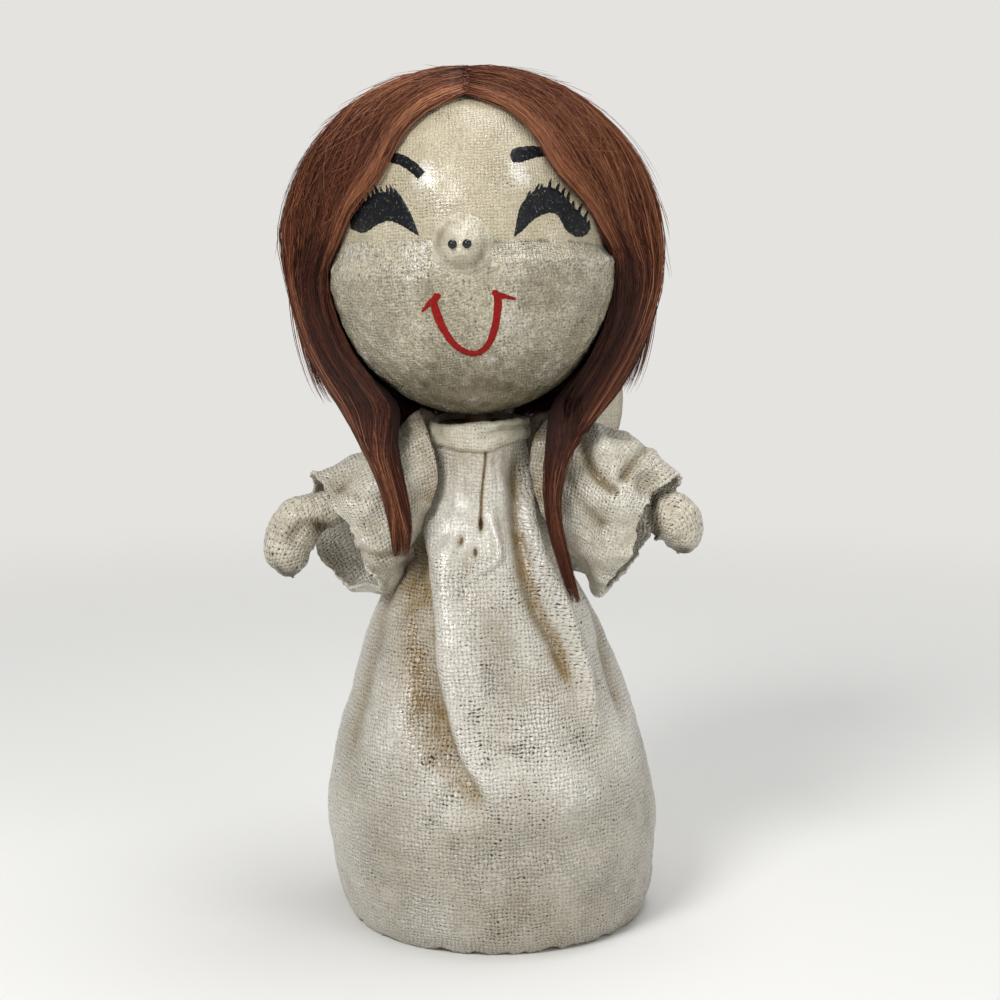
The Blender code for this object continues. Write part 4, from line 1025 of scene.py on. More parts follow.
def face_spots(turn, rise, sides, width, level, depth):
    """Soft spots of height one on the upper face: their turns, width, rise and depth, in radians."""
    return sum(np.exp(-(((turn - side) / width) ** 2 + ((rise - level) / depth) ** 2)) for side in sides)


def socket_depth(turn, rise):
    """Depth of the two eye hollows at a turn and rise on the upper face, in mm."""
    return face_spots(turn, rise, (-0.55, 0.55), 0.30, 0.26, 0.17)


class DOLL_OT_head(bpy.types.Operator):
    """Make the head's cloths: gauze over the upper face and the padded cup of the lower face"""

    bl_idname = "doll.head"
    bl_label = "Head cloths"

    def execute(self, context):
        cloth, _, _ = settings()
        middle = np.array([0.0, 0.0, HEAD_MIDDLE])
        columns = 300
        turn = turns_round(columns, -math.pi)
        wide_turn = np.linspace(-math.pi, math.pi, columns + 1)[None, :]
        self.upper_face(cloth, middle, turn, wide_turn)
        self.lower_face(cloth, middle, turn, wide_turn)
        return {"FINISHED"}

    def upper_face(self, cloth, middle, turn, wide_turn):
        """Make the gauze over the upper face and crown, with eye hollows and brow bumps."""
        rise = np.linspace(-0.05, math.pi / 2 - 0.01, 110)[:, None]
        away = head_direction(turn, rise)
        points = away * FACE_SIZE
        bump = lumps(points, 14.0, 5.5, 2) * 0.4 + lumps(points, 4.0, 2.9, 2) * 0.18
        brows = face_spots(turn, rise, (-0.36, 0.42), 0.14, 0.5, 0.13)
        points = points + away * (bump + 0.9 * brows - socket_depth(turn, rise))[..., None] + middle
        across = wide_turn * np.cos(rise) * FACE_SIZE[0]
        uv = stacked(across, rise * FACE_SIZE[2])
        # Painted shade along the lower edge under the cheek rim and in the hollows between bumps, with random
        # dirt; the brow bumps get varnish gloss with painted white glints
        low_edge = ease((0.2 - rise) / 0.2)
        dirt_and_shade = np.clip(0.12 + 0.2 * low_edge - 0.5 * bump + 0.2 * lumps(points, 22.0, 1.1, 2), 0.0, 1.0)
        gloss_and_painted_glint = np.clip(1.2 * brows, 0, 1.2)
        gauze = stiff_weave("varnished gauze, upper face", "#cfc4ab", "#bbaf92", "#80714b", cloth.face_pitch,
                            relief=1.0, holes=0.4, fill=0.62, grain=0.6, specks=0.55, seed=0.13)
        face = grid_object("face_gauze", leaned(points), gauze, uv, marks={"dirt_and_shade": dirt_and_shade, "gloss_and_painted_glint": gloss_and_painted_glint})
        close_ring(face, turn.size)
        finish_piece(face, "head", "face_cloth")

    def lower_face(self, cloth, middle, turn, wide_turn):
        """Make the padded cup, whose rim lies on the upper face and swells to the cheek ridge."""
        # The rim swells softly on the left and in a shelf on the right
        soft = ease((0.25 - turn) / 0.5)
        near_nose = np.exp(-((turn + 0.05) / 0.2) ** 2)
        top = 6.6 - 3.2 * ease((turn - 0.5) / 0.9) + 0.8 * soft + 1.0 * near_nose
        foot = 1.4 - 6.0 * soft - 1.2 * ease((turn - 0.6) / 0.8)
        share = np.linspace(0.0, 1.0, 44)[:, None]
        lip_height = top + (foot - top) * share
        face_reach = FACE_SIZE[0] * np.sqrt(1.0 - (lip_height / FACE_SIZE[2]) ** 2)
        face_reach = face_reach + 0.1 - socket_depth(turn, lip_height / FACE_SIZE[2])
        cheek_reach = CHEEK_SIZE[0] * np.sqrt(1.0 - (np.minimum(lip_height, 0.0) / CHEEK_SIZE[2]) ** 2)
        shelf = 0.75 * (1.0 - np.sqrt(1.0 - share**2)) + 0.25 * ease(share)
        swell = shelf + (ease(share) - shelf) * soft
        lip_reach = face_reach + (cheek_reach - face_reach) * swell

        # Below the rim the cup follows the cheeks down to the neck
        below = np.linspace(0.0, 1.0, 112)[1:, None]
        neck = math.acos(CUP_NECK / CHEEK_SIZE[0])
        fall = np.arcsin(-foot / CHEEK_SIZE[2])
        fall = fall + (neck - fall) * below
        reach = np.concatenate([lip_reach, CHEEK_SIZE[0] * np.cos(fall)])
        height = np.concatenate([lip_height, -CHEEK_SIZE[2] * np.sin(fall)])
        deep = CHEEK_SIZE[1] / CHEEK_SIZE[0]
        points = stacked(reach * np.sin(turn), -deep * reach * np.cos(turn), height)
        bump = lumps(points, 12.0, 6.6, 2) * 0.5 + lumps(points, 3.0, 3.3, 3) * 0.42
        steady = np.concatenate([ease(share * 1.2) + 0.0 * turn, np.ones((len(below), turn.size))])
        points = points + head_direction(turn, np.zeros((1, 1))) * (bump * steady)[..., None] + middle
        run = np.cumsum(np.concatenate([[0.0], np.linalg.norm(np.diff(points, axis=0), axis=2).mean(axis=1)]))
        across = wide_turn * reach.mean(axis=1)[:, None]
        uv = stacked(across, -run[:, None])

        # Painted shade lies under the chin, in the crease over the right shelf and in the hollows between
        # bumps, with random dirt; the rim is paler as a painted highlight, and the bumps and rim get varnish
        # gloss with painted white glints
        chin = ease((-height - 20.0) / 22.0)
        down = np.concatenate([share, 1.0 + below])
        crease = np.exp(-(((down - 0.08) / 0.1) ** 2)) * (1.0 - soft)
        ledge = ease(down / 0.4) * (1.0 - ease((down - 0.96) / 0.1))
        rim = (1.0 - ease(down / 1.2)) * soft + ledge * (1.0 - soft)
        dirt_and_shade = 0.16 - 0.4 * rim + 0.8 * chin + 0.5 * crease - 0.8 * bump + 0.25 * lumps(points, 18.0, 8.1, 2)
        gloss_and_painted_glint = np.clip(0.25 + 1.2 * bump + 0.3 * rim, 0.0, 0.9)
        rough = stiff_weave("varnished scrim, lower face", "#dfd5bb", "#cbc0a2", "#6c5f40", cloth.face_pitch,
                            relief=2.3, holes=0.5, fill=0.6, grain=1.8, specks=1.0, seed=0.91)
        marks = {"dirt_and_shade": np.clip(dirt_and_shade, 0.0, 1.0), "gloss_and_painted_glint": gloss_and_painted_glint, "painted_light_and_shade": -rim}
        cheeks = grid_object("cheek_cloth", leaned(points), rough, uv, marks=marks)
        flip_outwards(cheeks)
        thicken(cheeks, CUP_THICK)
        finish_piece(cheeks, "head", "cheek_pad")


class DOLL_OT_nose(bpy.types.Operator):
    """Make the cloth-covered bead nose and its two black pins"""

    bl_idname = "doll.nose"
    bl_label = "Nose"

    def execute(self, context):
        cloth, _, _ = settings()
        radius = (NOSE_HIGH[0] - NOSE_LOW[0]) / 2
        across, up = ((NOSE_HIGH[axis] + NOSE_LOW[axis]) / 2 for axis in (0, 2))
        middle = np.array([across, NOSE_LOW[1] + radius, up])
        rows, columns = 70, 110
        reach = np.linspace(0.003, NOSE_REACH, rows)[:, None]
        turn = turns_round(columns)
        flat = stacked(reach * np.cos(turn), 0.0, reach * np.sin(turn)) + middle

        # The bead stands on the upper face and, lower down, on the cheeks; its cloth turns in at the rim
        levels = []
        for size in (FACE_SIZE, CHEEK_SIZE):
            share = (flat[..., 0] / size[0]) ** 2 + ((flat[..., 2] - HEAD_MIDDLE) / size[2]) ** 2
            levels.append(size[1] * np.sqrt(1.0 - share))
        on_cheek = ease((HEAD_MIDDLE + 6.0 - flat[..., 2]) / 5.0)
        level = -(levels[0] + (levels[1] - levels[0]) * on_cheek)
        wide = 0.86 * radius * (1.0 + 0.05 * np.cos(2 * turn) + 0.05 * np.cos(3 * turn + 1.0))
        swell = np.exp(-((reach / wide) ** 2.8))
        bump = lumps(flat, 4.0, 1.9, 2) * 0.5 + lumps(flat, 2.0, 6.1, 2) * 0.25
        proud = (level[0, 0] - NOSE_LOW[1]) * swell
        proud = proud + bump * ease(reach / 3.0) * ease((NOSE_REACH - reach) / 3.0)
        points = flat.copy()
        points[..., 1] = level - proud + 1.4 * ease((reach - 7.5) / 2.5)
        # Painted shade in the crease round the bead's foot and in the hollows between lumps
        dirt_and_shade = np.clip(0.1 - 0.4 * bump + 0.45 * np.exp(-(((reach - 6.4) / 1.3) ** 2)), 0.0, 1.0)
        uv = points[..., ::2]
        uv = np.concatenate([uv, uv[:, :1]], axis=1)
        material = stiff_weave("varnished gauze, nose", "#d6cfba", "#c4bba0", "#776845", cloth.face_pitch,
                               relief=0.8, holes=0.25, grain=0.5, specks=0.5, seed=0.47)
        nose = grid_object("nose_gauze", leaned(points), material, uv, marks={"dirt_and_shade": dirt_and_shade})
        close_ring(nose, columns, last=False)
        flip_outwards(nose)
        finish_piece(nose, "head", "nose")
        self.pins()
        return {"FINISHED"}

    def pins(self):
        """Make the black ball-head pins: glossy glass heads with a short shank into the nose."""
        black, shader, add = new_material("black glass pin head", Base_Color=solid("#0b0a0b"))
        smear = add("TexNoise", add("TexCoord", out=3), Scale=1 / (0.8 * MM))
        wire_up(black, shader, Roughness=add("MapRange", smear, 0.3, 0.7, 0.06, 0.18))
        columns = 32
        turn = turns_round(columns)
        for side in ("left", "right"):
            low, high = upright_box("nostril_pin_" + side)
            head = (high[0] - low[0]) / 2
            centre = np.array([(low[0] + high[0]) / 2, low[1] + head, (low[2] + high[2]) / 2])
            fall = np.linspace(0.02, math.pi - 0.3, 28)
            end = high[1] - centre[1]
            profile = stacked(np.sin(fall) * head, -np.cos(fall) * head)
            profile = np.concatenate([profile, [[0.4, 2.0], [0.4, end], [0.02, end + 0.02]]])
            radius, depth = profile[:, :1], profile[:, 1:]
            shape = stacked(radius * np.cos(turn), depth, radius * np.sin(turn)) + centre
            pin = grid_object("pin_" + side, leaned(shape), black, arc_map(shape))
            close_ring(pin, columns)
            finish_piece(pin, "head", "nostril_pin_" + side)


# Painted features


def on_head(spot, trees, lift):
    """Place in mm where the camera's ray through a pixel meets the head, lifted off its surface."""
    start = Vector(CAMERA_PLACE) * MM
    ray = photo_ray(*spot)
    hits = [tree.ray_cast(start, ray) for tree in trees]
    hit = min((found for found in hits if found[0]), key=lambda found: found[3])
    normal = hit[1] if hit[1].dot(ray) < 0 else -hit[1]
    return np.array(hit[0] / MM + normal * lift)


def paint_patch(upper, lower, trees, film=0.16):
    """A patch of paint between two edges given in pixels: rows along it and columns across, in mm."""
    length = np.linalg.norm(np.diff(np.array(upper, float), axis=0), axis=1).sum()
    count = max(10, int(length / PAINT_ROW_PIXELS))
    top, foot = through(upper, count), through(lower, count)
    width = np.linalg.norm(top - foot, axis=1).max()
    columns = max(5, int(width / PAINT_COLUMN_PIXELS))
    rows = []
    for row in range(count):
        ragged = 0.7 * math.sin(row * 2.3) + 0.5 * math.sin(row * 5.1)
        line = []
        for share in np.linspace(0.0, 1.0, columns):
            spot = top[row] * (1 - share) + foot[row] * share
            spot = spot + np.array([0.0, ragged * (0.5 - share)])
            edge = min(share, 1.0 - share, row / count, 1.0 - row / count)
            line.append(on_head(spot, trees, 0.04 + film * float(ease(edge * 8.0))))
        rows.append(line)
    return np.array(rows)


def paint_stroke(stroke, trees):
    """A brush stroke of (across, down, width) points in pixels."""
    path = through(stroke, 4 * len(stroke))
    along = unit(np.gradient(path[:, :2], axis=0))
    side = stacked(along[:, 1], -along[:, 0]) * np.maximum(path[:, 2:], 0.5) / 2
    return paint_patch(path[:, :2] + side, path[:, :2] - side, trees)


def join_strokes(name, strokes, material):
    """Make one painted piece of several strokes."""
    points, faces = [], []
    start = 0
    for stroke in strokes:
        rows, columns = stroke.shape[:2]
        points.append(stroke.reshape(-1, 3))
        faces.append(grid_faces(rows, columns, False) + start)
        start += rows * columns
    piece = make_object(name, np.concatenate(points), np.concatenate(faces), material)
    return finish_piece(piece, "head")


class DOLL_OT_paint(bpy.types.Operator):
    """Paint the closed eyes with lashes, the brows and the smile on the head's cloths"""

    bl_idname = "doll.paint"
    bl_label = "Painted face"

    def execute(self, context):
        graph = context.evaluated_depsgraph_get()
        trees = [BVHTree.FromObject(bpy.data.objects[name], graph) for name in ("face_gauze", "cheek_cloth")]
        navy = enamel("navy black enamel", "#0a0d13", "#a39b80", 0.38)
        red = enamel("dark red enamel", "#8c0c07", "#9a2a1c", 0.38)
        for side in ("left", "right"):
            upper, lower = EYE_EDGES[side]
            strokes = [paint_patch(upper, lower, trees)]
            first, last, lean = LASHES[side]
            edge = through(upper, 100)
            for index in range(LASH_COUNT):
                share = first + (last - first) * index / (LASH_COUNT - 1)
                root = edge[int(share * 99)]
                reach = 6.0 + 2.0 * math.sin(index * 2.4)
                tip = root + np.array([lean * reach + 1.5 * math.sin(index * 1.7), -reach])
                base = root + np.array([0.0, 5.0])
                half = (root + tip) / 2 + np.array([0.0, 1.0])
                strokes.append(paint_stroke([(*base, 5.0), (*half, 3.0), (*tip, 0.8)], trees))
            join_strokes("eye_paint_" + side, strokes, navy)
            join_strokes("brow_paint_" + side, [paint_patch(*BROW_EDGES[side], trees)], navy)
        join_strokes("mouth_paint", [paint_stroke(stroke, trees) for stroke in MOUTH_STROKES], red)
        return {"FINISHED"}


# Hair


def crown_ring(turn, sign, count):
    """Outer and inner edge of the hair in the plane at degrees from the part, in mm."""
    angle = math.radians(turn)
    inner_depth = FACE_SIZE[1] + 0.8
    inner_reach = 1.0 / math.hypot(math.sin(angle) / FACE_SIZE[0], math.cos(angle) / FACE_SIZE[2]) + 0.8
    inner_reach += ease((turn - 80.0) / 10.0) * (CHEEK_SIZE[0] - FACE_SIZE[0])
    front = -math.radians(float(read(HAIRLINE, turn)))
    share = np.linspace(0.0, 1.0, count)
    inner_angle = front + (math.asin(HAIR_SPLIT / inner_depth) - front) * share
    outer_angle = front + (math.asin(HAIR_SPLIT / HAIR_HALF_DEPTH) - front) * share
    full = ease(share * 2.2)
    outer_depth = inner_depth + HAIR_EDGE + (HAIR_HALF_DEPTH - inner_depth - HAIR_EDGE) * full
    outer_reach = inner_reach + HAIR_EDGE + (HAIR_REACH - inner_reach - HAIR_EDGE) * full
    sections = ((outer_depth, outer_reach, outer_angle), (inner_depth, inner_reach, inner_angle))
    edges = []
    for depth, reach, way in sections:
        across = 0.3 + reach * np.cos(way) * math.sin(angle)
        height = HEAD_MIDDLE + reach * np.cos(way) * math.cos(angle)
        edges.append(stacked(sign * across, depth * np.sin(way), height))
    return edges


def bow(start, middle, end, count):
    """Points of a smooth bow from start through middle to end."""
    start, middle, end = (np.asarray(point, float) for point in (start, middle, end))
    share = np.linspace(0.0, 1.0, count)[:, None]
    control = 2.0 * middle - 0.5 * (start + end)
    return (1 - share) ** 2 * start + 2 * share * (1 - share) * control + share**2 * end


def side_ring(level, sign, count):
    """Outer and inner edge of the hair beside the lower face, in mm."""
    drop, front, outermost, rear = level
    share = min(drop / CHEEK_SIZE[2], 1.0)
    inner_middle = (CHEEK_SIZE[0] * math.sqrt(1.0 - share**2) + 1.2, outermost[1])
    edges = []
    for inset, middle in ((0.0, outermost), (HAIR_EDGE, inner_middle)):
        flat = bow((front[0] - inset, front[1]), middle, (rear[0] - inset, rear[1]), count)
        edges.append(stacked(sign * flat[:, 0], flat[:, 1], HEAD_MIDDLE - drop))
    return edges


def lock_ring(level, count):
    """Outer and inner half of a lock's flattened section, in mm."""
    drop, middle, half_width, half_thickness = level
    sign = math.copysign(1.0, middle[0])
    edges = []
    for face in (1.0, -1.0):
        angle = np.pi * (0.5 - np.linspace(0.02, 0.98, count))
        across = sign * face * half_width * np.cos(angle)
        back = middle[1] - half_thickness * np.sin(angle)
        edges.append(stacked(middle[0] + across, back, HEAD_MIDDLE - drop))
    return edges


def hair_edges(sign, lock):
    """Outer and inner surface of one side's hair, from the part to the tip of its lock."""
    rings = [crown_ring(turn, sign, HAIR_COLUMNS) for turn in np.linspace(0.0, 90.0, 11)]
    rings += [side_ring(level, sign, HAIR_COLUMNS) for level in HAIR_SIDE]
    rings += [lock_ring(level, HAIR_COLUMNS) for level in lock]
    edges = []
    for which in (0, 1):
        sheet = through([ring[which] for ring in rings], HAIR_ROWS)
        for _ in range(HAIR_SMOOTHING):
            sheet[1:-1] = (sheet[:-2] + 2 * sheet[1:-1] + sheet[2:]) / 4
        edges.append(sheet)
    return edges


def hair_points(edges, row, across, depth):
    """Points of one side's hair at shares of its length, its width from the face and its depth, in mm."""
    outer, inner = edges
    rows, columns = outer.shape[:2]
    row, across, depth = np.broadcast_arrays(row, across, depth)
    place = np.clip(row, 0.0, 1.0) * (rows - 1)
    low = np.minimum(place.astype(int), rows - 2)
    part = (place - low)[..., None]
    column = across * (columns - 1)
    left = np.clip(np.floor(column).astype(int), 0, columns - 2)
    mix = (column - left)[..., None]
    found = []
    for sheet in (outer, inner):
        upper = sheet[low, left] * (1 - mix) + sheet[low, left + 1] * mix
        lower = sheet[low + 1, left] * (1 - mix) + sheet[low + 1, left + 1] * mix
        found.append(upper * (1 - part) + lower * part)
    return found[0] + (found[1] - found[0]) * depth[..., None]


def strand_mesh(name, paths, radii, tones, material):
    """Make a piece of many thin tapered strands with closed ends.

    Paths are strands by points by 3, in mm; tones are strands by points, from 0 to 1.
    """
    strands, count = paths.shape[:2]
    along = unit(np.gradient(paths, axis=1))
    side = unit(np.cross(along, np.array([0.31, 0.52, 0.79])))
    other = np.cross(along, side)
    share = np.linspace(0.0, 1.0, count)
    taper = np.minimum(1.0, (1.0 - share) * 5.0 + 0.2)[None, :, None] * radii[:, None, None]
    turns = [2 * math.pi * corner / 3 for corner in range(3)]
    ways = [math.cos(turn) * side + math.sin(turn) * other for turn in turns]
    points = np.stack([paths + taper * way for way in ways], axis=2)
    first = (np.arange(strands) * count * 3)[:, None, None]
    row = (np.arange(count - 1) * 3)[None, :, None]
    corner = np.arange(3)[None, None, :]
    after = (corner + 1) % 3
    near, near_after = first + row + corner, first + row + after
    sides = [(near, near_after, near_after + 3), (near, near_after + 3, near + 3)]
    faces = [stacked(*corners).reshape(-1, 3) for corners in sides]
    start = first.reshape(-1, 1)
    faces += [start + np.array([[0, 2, 1]]), start + (count - 1) * 3 + np.array([[0, 1, 2]])]
    faces = np.concatenate(faces)
    length = np.repeat(np.tile(share * 140.0, strands), 3)
    number = np.repeat(np.arange(strands) * 3.7, count * 3)
    uv = stacked(number, length)[faces]
    return make_object(name, points, faces, material, uv, {"tone": np.repeat(tones, 3)})


class DOLL_OT_hair(bpy.types.Operator):
    """Make the hair: a soft body of hair and loose strands over it, falling to two front locks"""

    bl_idname = "doll.hair"
    bl_label = "Hair"

    def execute(self, context):
        _, hair, _ = settings()
        random = np.random.default_rng(11)
        # The soft body of hair is coloured dark as painted shade between the strands
        mass = fibre_hair("auburn fibre, mass in painted shade", "#140906", "#2a130c", "#452417", 0.7, 0.9)
        loose = fibre_hair("auburn fibre, strands", "#260f08", "#6a3824", "#ad7350", 2.0, 0.58)
        for side, sign, lock in (("left", -1.0, LOCK_LEFT), ("right", 1.0, LOCK_RIGHT)):
            edges = hair_edges(sign, lock)
            piece = self.side_mass(edges, side, sign, mass)
            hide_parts("hair_" + side)
            layers = {
                name: self.side_strands(edges, hair.strands, depths, tone, random)
                for name, depths, tone in HAIR_LAYERS
            }
            layers["fuzz"] = self.fuzz(edges, hair.strands // 2, random)
            layers["inner"] = self.curtain(sign, hair.strands, random)
            pieces = [piece]
            for layer, (paths, tones) in layers.items():
                thick = hair.radius / MM * (0.6 if layer == "fuzz" else 1.0)
                radii = thick * random.uniform(0.7, 1.25, len(paths))
                pieces.append(strand_mesh(f"hair_{layer}_{side}", leaned(paths), radii, tones, loose))
            for piece in pieces:
                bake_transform(piece)
        self.back(random, mass, loose, hair)
        return {"FINISHED"}

    def side_mass(self, edges, side, sign, material):
        """Make the soft body of one side's hair, set in from its strands and thinner in the lock."""
        outer, inner = edges
        inset = 0.13 + 0.25 * ease((np.linspace(0.0, 1.0, HAIR_COLUMNS) - 0.65) / 0.3)[None, :, None]
        ring = [outer + (inner - outer) * inset, (inner + (outer - inner) * 0.1)[:, ::-1]]
        ring = np.concatenate(ring, axis=1)[:HAIR_MASS_ROWS, 1:-1]
        thin = 1.0 - 0.35 * ease((np.linspace(0.0, 0.93, len(ring)) - 0.8) / 0.13)[:, None, None]
        core = ring.mean(axis=1, keepdims=True)
        ring = core + (ring - core) * thin
        furrow = lumps(ring * np.array([1.0, 1.0, 0.12]), 2.2, 3.0 + sign, 2) * 0.5
        piece = grid_object("hair_mass_" + side, leaned(ring), material, arc_map(ring),
                            marks={"tone": np.clip(0.42 + 0.2 * furrow, 0.0, 1.0)})
        close_ring(piece, ring.shape[1])
        return piece

    def side_strands(self, edges, count, depths, tone, random):
        """Paths and tones of strands from the part to the lock, in clumps and a little crossed."""
        share = np.linspace(0.0, 1.0, 24)[None, :]

        # Across the hair, each strand starts farther back, gathers to its clump and swings a little
        own = random.uniform(0.0, 1.0, count) ** 1.1 + random.normal(0.0, 0.018, count)
        wisp = random.uniform(0.0, 1.0, count) < HAIR_WISPS
        own = np.where(wisp, -random.exponential(0.03, count), own)
        clumps = np.sort(random.uniform(0.0, 1.0, HAIR_CLUMPS))
        nearest = np.abs(own[:, None] - clumps[None, :]).argmin(axis=1)
        clump_tone = random.normal(0.0, 0.18, len(clumps))[nearest]
        clump_depth = random.normal(0.0, 0.05, len(clumps))[nearest]
        gather = (clumps[nearest] - own) * random.uniform(0.2, 0.8, count)
        back = np.minimum(random.uniform(0.0, 0.34, count), 1.0 - own) * np.clip(own * 8.0, 0.0, 1.0)
        across = own[:, None] + gather[:, None] * ease(share / 0.6)
        across = across + back[:, None] * (1.0 - ease(share / 0.5))
        waves = random.uniform(1.0, 5.0, (count, 1))
        swing = np.sin(2 * math.pi * (share * waves + random.uniform(0, 1, (count, 1))))
        across = across + random.normal(0.0, 0.011, (count, 1)) * swing * ease(share * 4.0)

        # Strands end at lengths of their own, and the lock draws them together
        end = np.clip(1.0 - random.exponential(0.085, (count, 1)), 0.55, 1.0)
        down = share * end
        across = across + (0.5 - across) * 0.75 * ease((down - 0.86) / 0.14)
        depth = random.uniform(*depths, count) + clump_depth
        depth = depth[:, None] + (0.16 - depth[:, None]) * (1.0 - ease(share / 0.03))
        depth = depth * (1.0 + 0.3 * np.exp(-(((down - 0.49) / 0.08) ** 2)))
        in_lock = ease((down - 0.48) / 0.16)
        depth = depth + (np.clip(depth, 0.15, 0.85) - depth) * in_lock
        across = across + (np.clip(across, 0.05, 0.95) - across) * in_lock
        paths = hair_points(edges, down, np.clip(across, -0.1, 1.06), depth)
        sign = np.sign(edges[0][HAIR_ROWS // 2, HAIR_COLUMNS // 2, 0])
        paths[..., 0] -= sign * random.uniform(0.2, 1.3, (count, 1)) * (1.0 - ease(share / 0.04))

        # Painted shade darkens the hair beside the chin and at the part, the hair is also darker down the
        # lock, and wisps are lighter
        shade = ease(1.0 - across / 0.34) * ease((down - 0.42) / 0.14) * (1.0 - ease((down - 0.74) / 0.1))
        tones = (tone + clump_tone + random.normal(0.0, 0.2, count))[:, None]
        tones = tones - 0.6 * shade - 0.2 * (1.0 - ease(share / 0.05)) + np.where(wisp, 0.2, 0.0)[:, None]
        tones = tones - 0.04 - 0.16 * ease((down - 0.35) / 0.3)
        frizz = random.normal(0.0, 0.32, paths.shape)
        frizz[:, 1:-1] = (frizz[:, :-2] + frizz[:, 1:-1] + frizz[:, 2:]) / 3
        return paths + frizz + random.normal(0.0, 0.14, (count, 1, 3)), np.clip(tones, 0.0, 1.0)

    def fuzz(self, edges, count, random):
        """Paths and tones of short loose hairs that stand off the hair, and of a few long ones."""
        share = np.linspace(0.0, 1.0, 14)[None, :]
        far = random.uniform(0.0, 1.0, (count, 1)) > 0.993
        row = random.uniform(0.0, 0.4, (count, 1))
        length = np.where(far, random.uniform(0.2, 0.4, (count, 1)), random.uniform(0.05, 0.15, (count, 1)))
        across = random.uniform(0.0, 1.0, (count, 1)) + random.normal(0.0, 0.1, (count, 1)) * share
        far_lift = random.uniform(1.5, 4.0, (count, 1))
        lift = np.where(far, far_lift, np.minimum(random.exponential(0.8, (count, 1)), 2.6))
        where = row + length * share, np.clip(across, -0.06, 1.02)
        low = hair_points(edges, *where, np.full_like(across, 0.3))
        high = hair_points(edges, *where, np.full_like(across, -0.05))
        paths = high + unit(high - low) * (lift * share**1.4)[..., None]
        return paths, np.clip(random.normal(0.7, 0.16, (count, 1)) + 0.0 * share, 0.0, 1.0)

    def curtain(self, sign, count, random):
        """Paths and tones of the hair that hangs behind the cheeks down to the shoulders, dark as painted
        shade.
        """
        turn = np.radians(random.uniform(6.0, 88.0, count))
        across, back, _ = CHEEK_SIZE + 1.5
        start = stacked(across * np.cos(turn), back * np.sin(turn), HEAD_MIDDLE - 8.0)
        aside = random.uniform(1.0, 33.0, count)
        behind = np.sqrt(np.clip(18.0**2 - aside**2, 0.0, None)) + random.uniform(-4.0, 8.0, count)
        end = stacked(aside, behind, HEAD_MIDDLE - random.uniform(46.0, 56.0, count))
        half = start * np.array([0.97, 0.89, 0.0]) + np.array([0.0, 0.0, HEAD_MIDDLE - 27.0])
        points = 22
        paths = bow(start[:, None], half[:, None], end[:, None], points)
        # Low tones: painted shade behind the cheeks
        tones = np.repeat(np.clip(random.normal(0.12, 0.1, (count, 1)), 0.0, 1.0), points, axis=1)
        return paths * np.array([sign, 1.0, 1.0]), tones

    def back(self, random, mass, loose, hair):
        """Make the hair on the back of the head."""
        low, _ = upright_box("hair_back")
        profile = through([
            (2.0, HEAD_MIDDLE + HAIR_REACH - 1.5), (22.0, HEAD_MIDDLE + 50.6), (40.0, HEAD_MIDDLE + 39.6),
            (52.0, HEAD_MIDDLE + 21.5), (HAIR_REACH, HEAD_MIDDLE), (56.0, HEAD_MIDDLE - 18.0), (52.0, low[2]),
            (46.0, low[2] - 11.0),
        ], 60)
        ratio = HAIR_HALF_DEPTH / HAIR_REACH
        start = math.radians(30.0)
        turn = np.linspace(math.pi - start, start, 90)[None, :]
        radius, height = profile[:50, :1] * 0.96, profile[:50, 1:] - 1.5
        shell = stacked(radius * np.cos(turn), ratio * radius * np.sin(turn), height)
        furrow = lumps(shell * np.array([1.0, 1.0, 0.1]), 2.2, 7.0, 2) * 0.5
        piece = grid_object("hair_mass_back", leaned(shell), mass, arc_map(shell, wrap=False), wrap=False,
                            marks={"tone": np.clip(0.42 + 0.2 * furrow, 0.0, 1.0)})
        thicken(piece, 3.0)
        finish_piece(piece, "head", "hair_back")
        count, points = hair.strands, 24
        angle = random.uniform(math.radians(14.0), math.pi - math.radians(14.0), count)
        end = random.uniform(0.84, 0.95, count)
        lift = random.uniform(0.968, 1.008, count)
        aside = random.normal(0.0, 0.05, count)
        paths = np.empty((count, points, 3))
        for step, share in enumerate(np.linspace(0.0, 1.0, points)):
            place = np.clip(share * end, 0.0, 1.03) * (len(profile) - 1)
            index = np.minimum(place.astype(int), len(profile) - 2)
            part = place - index
            radius = profile[index, 0] * (1 - part) + profile[index + 1, 0] * part
            height = profile[index, 1] * (1 - part) + profile[index + 1, 1] * part
            drift = angle + 0.04 * np.sin(5.0 * share + angle * 40.0)
            drift = drift + 0.03 * np.sin(3.0 * share + angle * 13.0) + aside * share
            paths[:, step, 0] = radius * lift * np.cos(drift)
            paths[:, step, 1] = ratio * radius * lift * np.sin(drift)
            paths[:, step, 2] = height - (1.0 - lift) * 40.0 * (1.0 - share)
        tones = np.repeat(np.clip(random.normal(0.5, 0.2, (count, 1)), 0.0, 1.0), points, axis=1)
        radii = hair.radius / MM * random.uniform(0.9, 1.5, count)
        strands = strand_mesh("hair_over_back", leaned(paths), radii, tones, loose)
        finish_piece(strands, "head")


# Wings and inner pieces


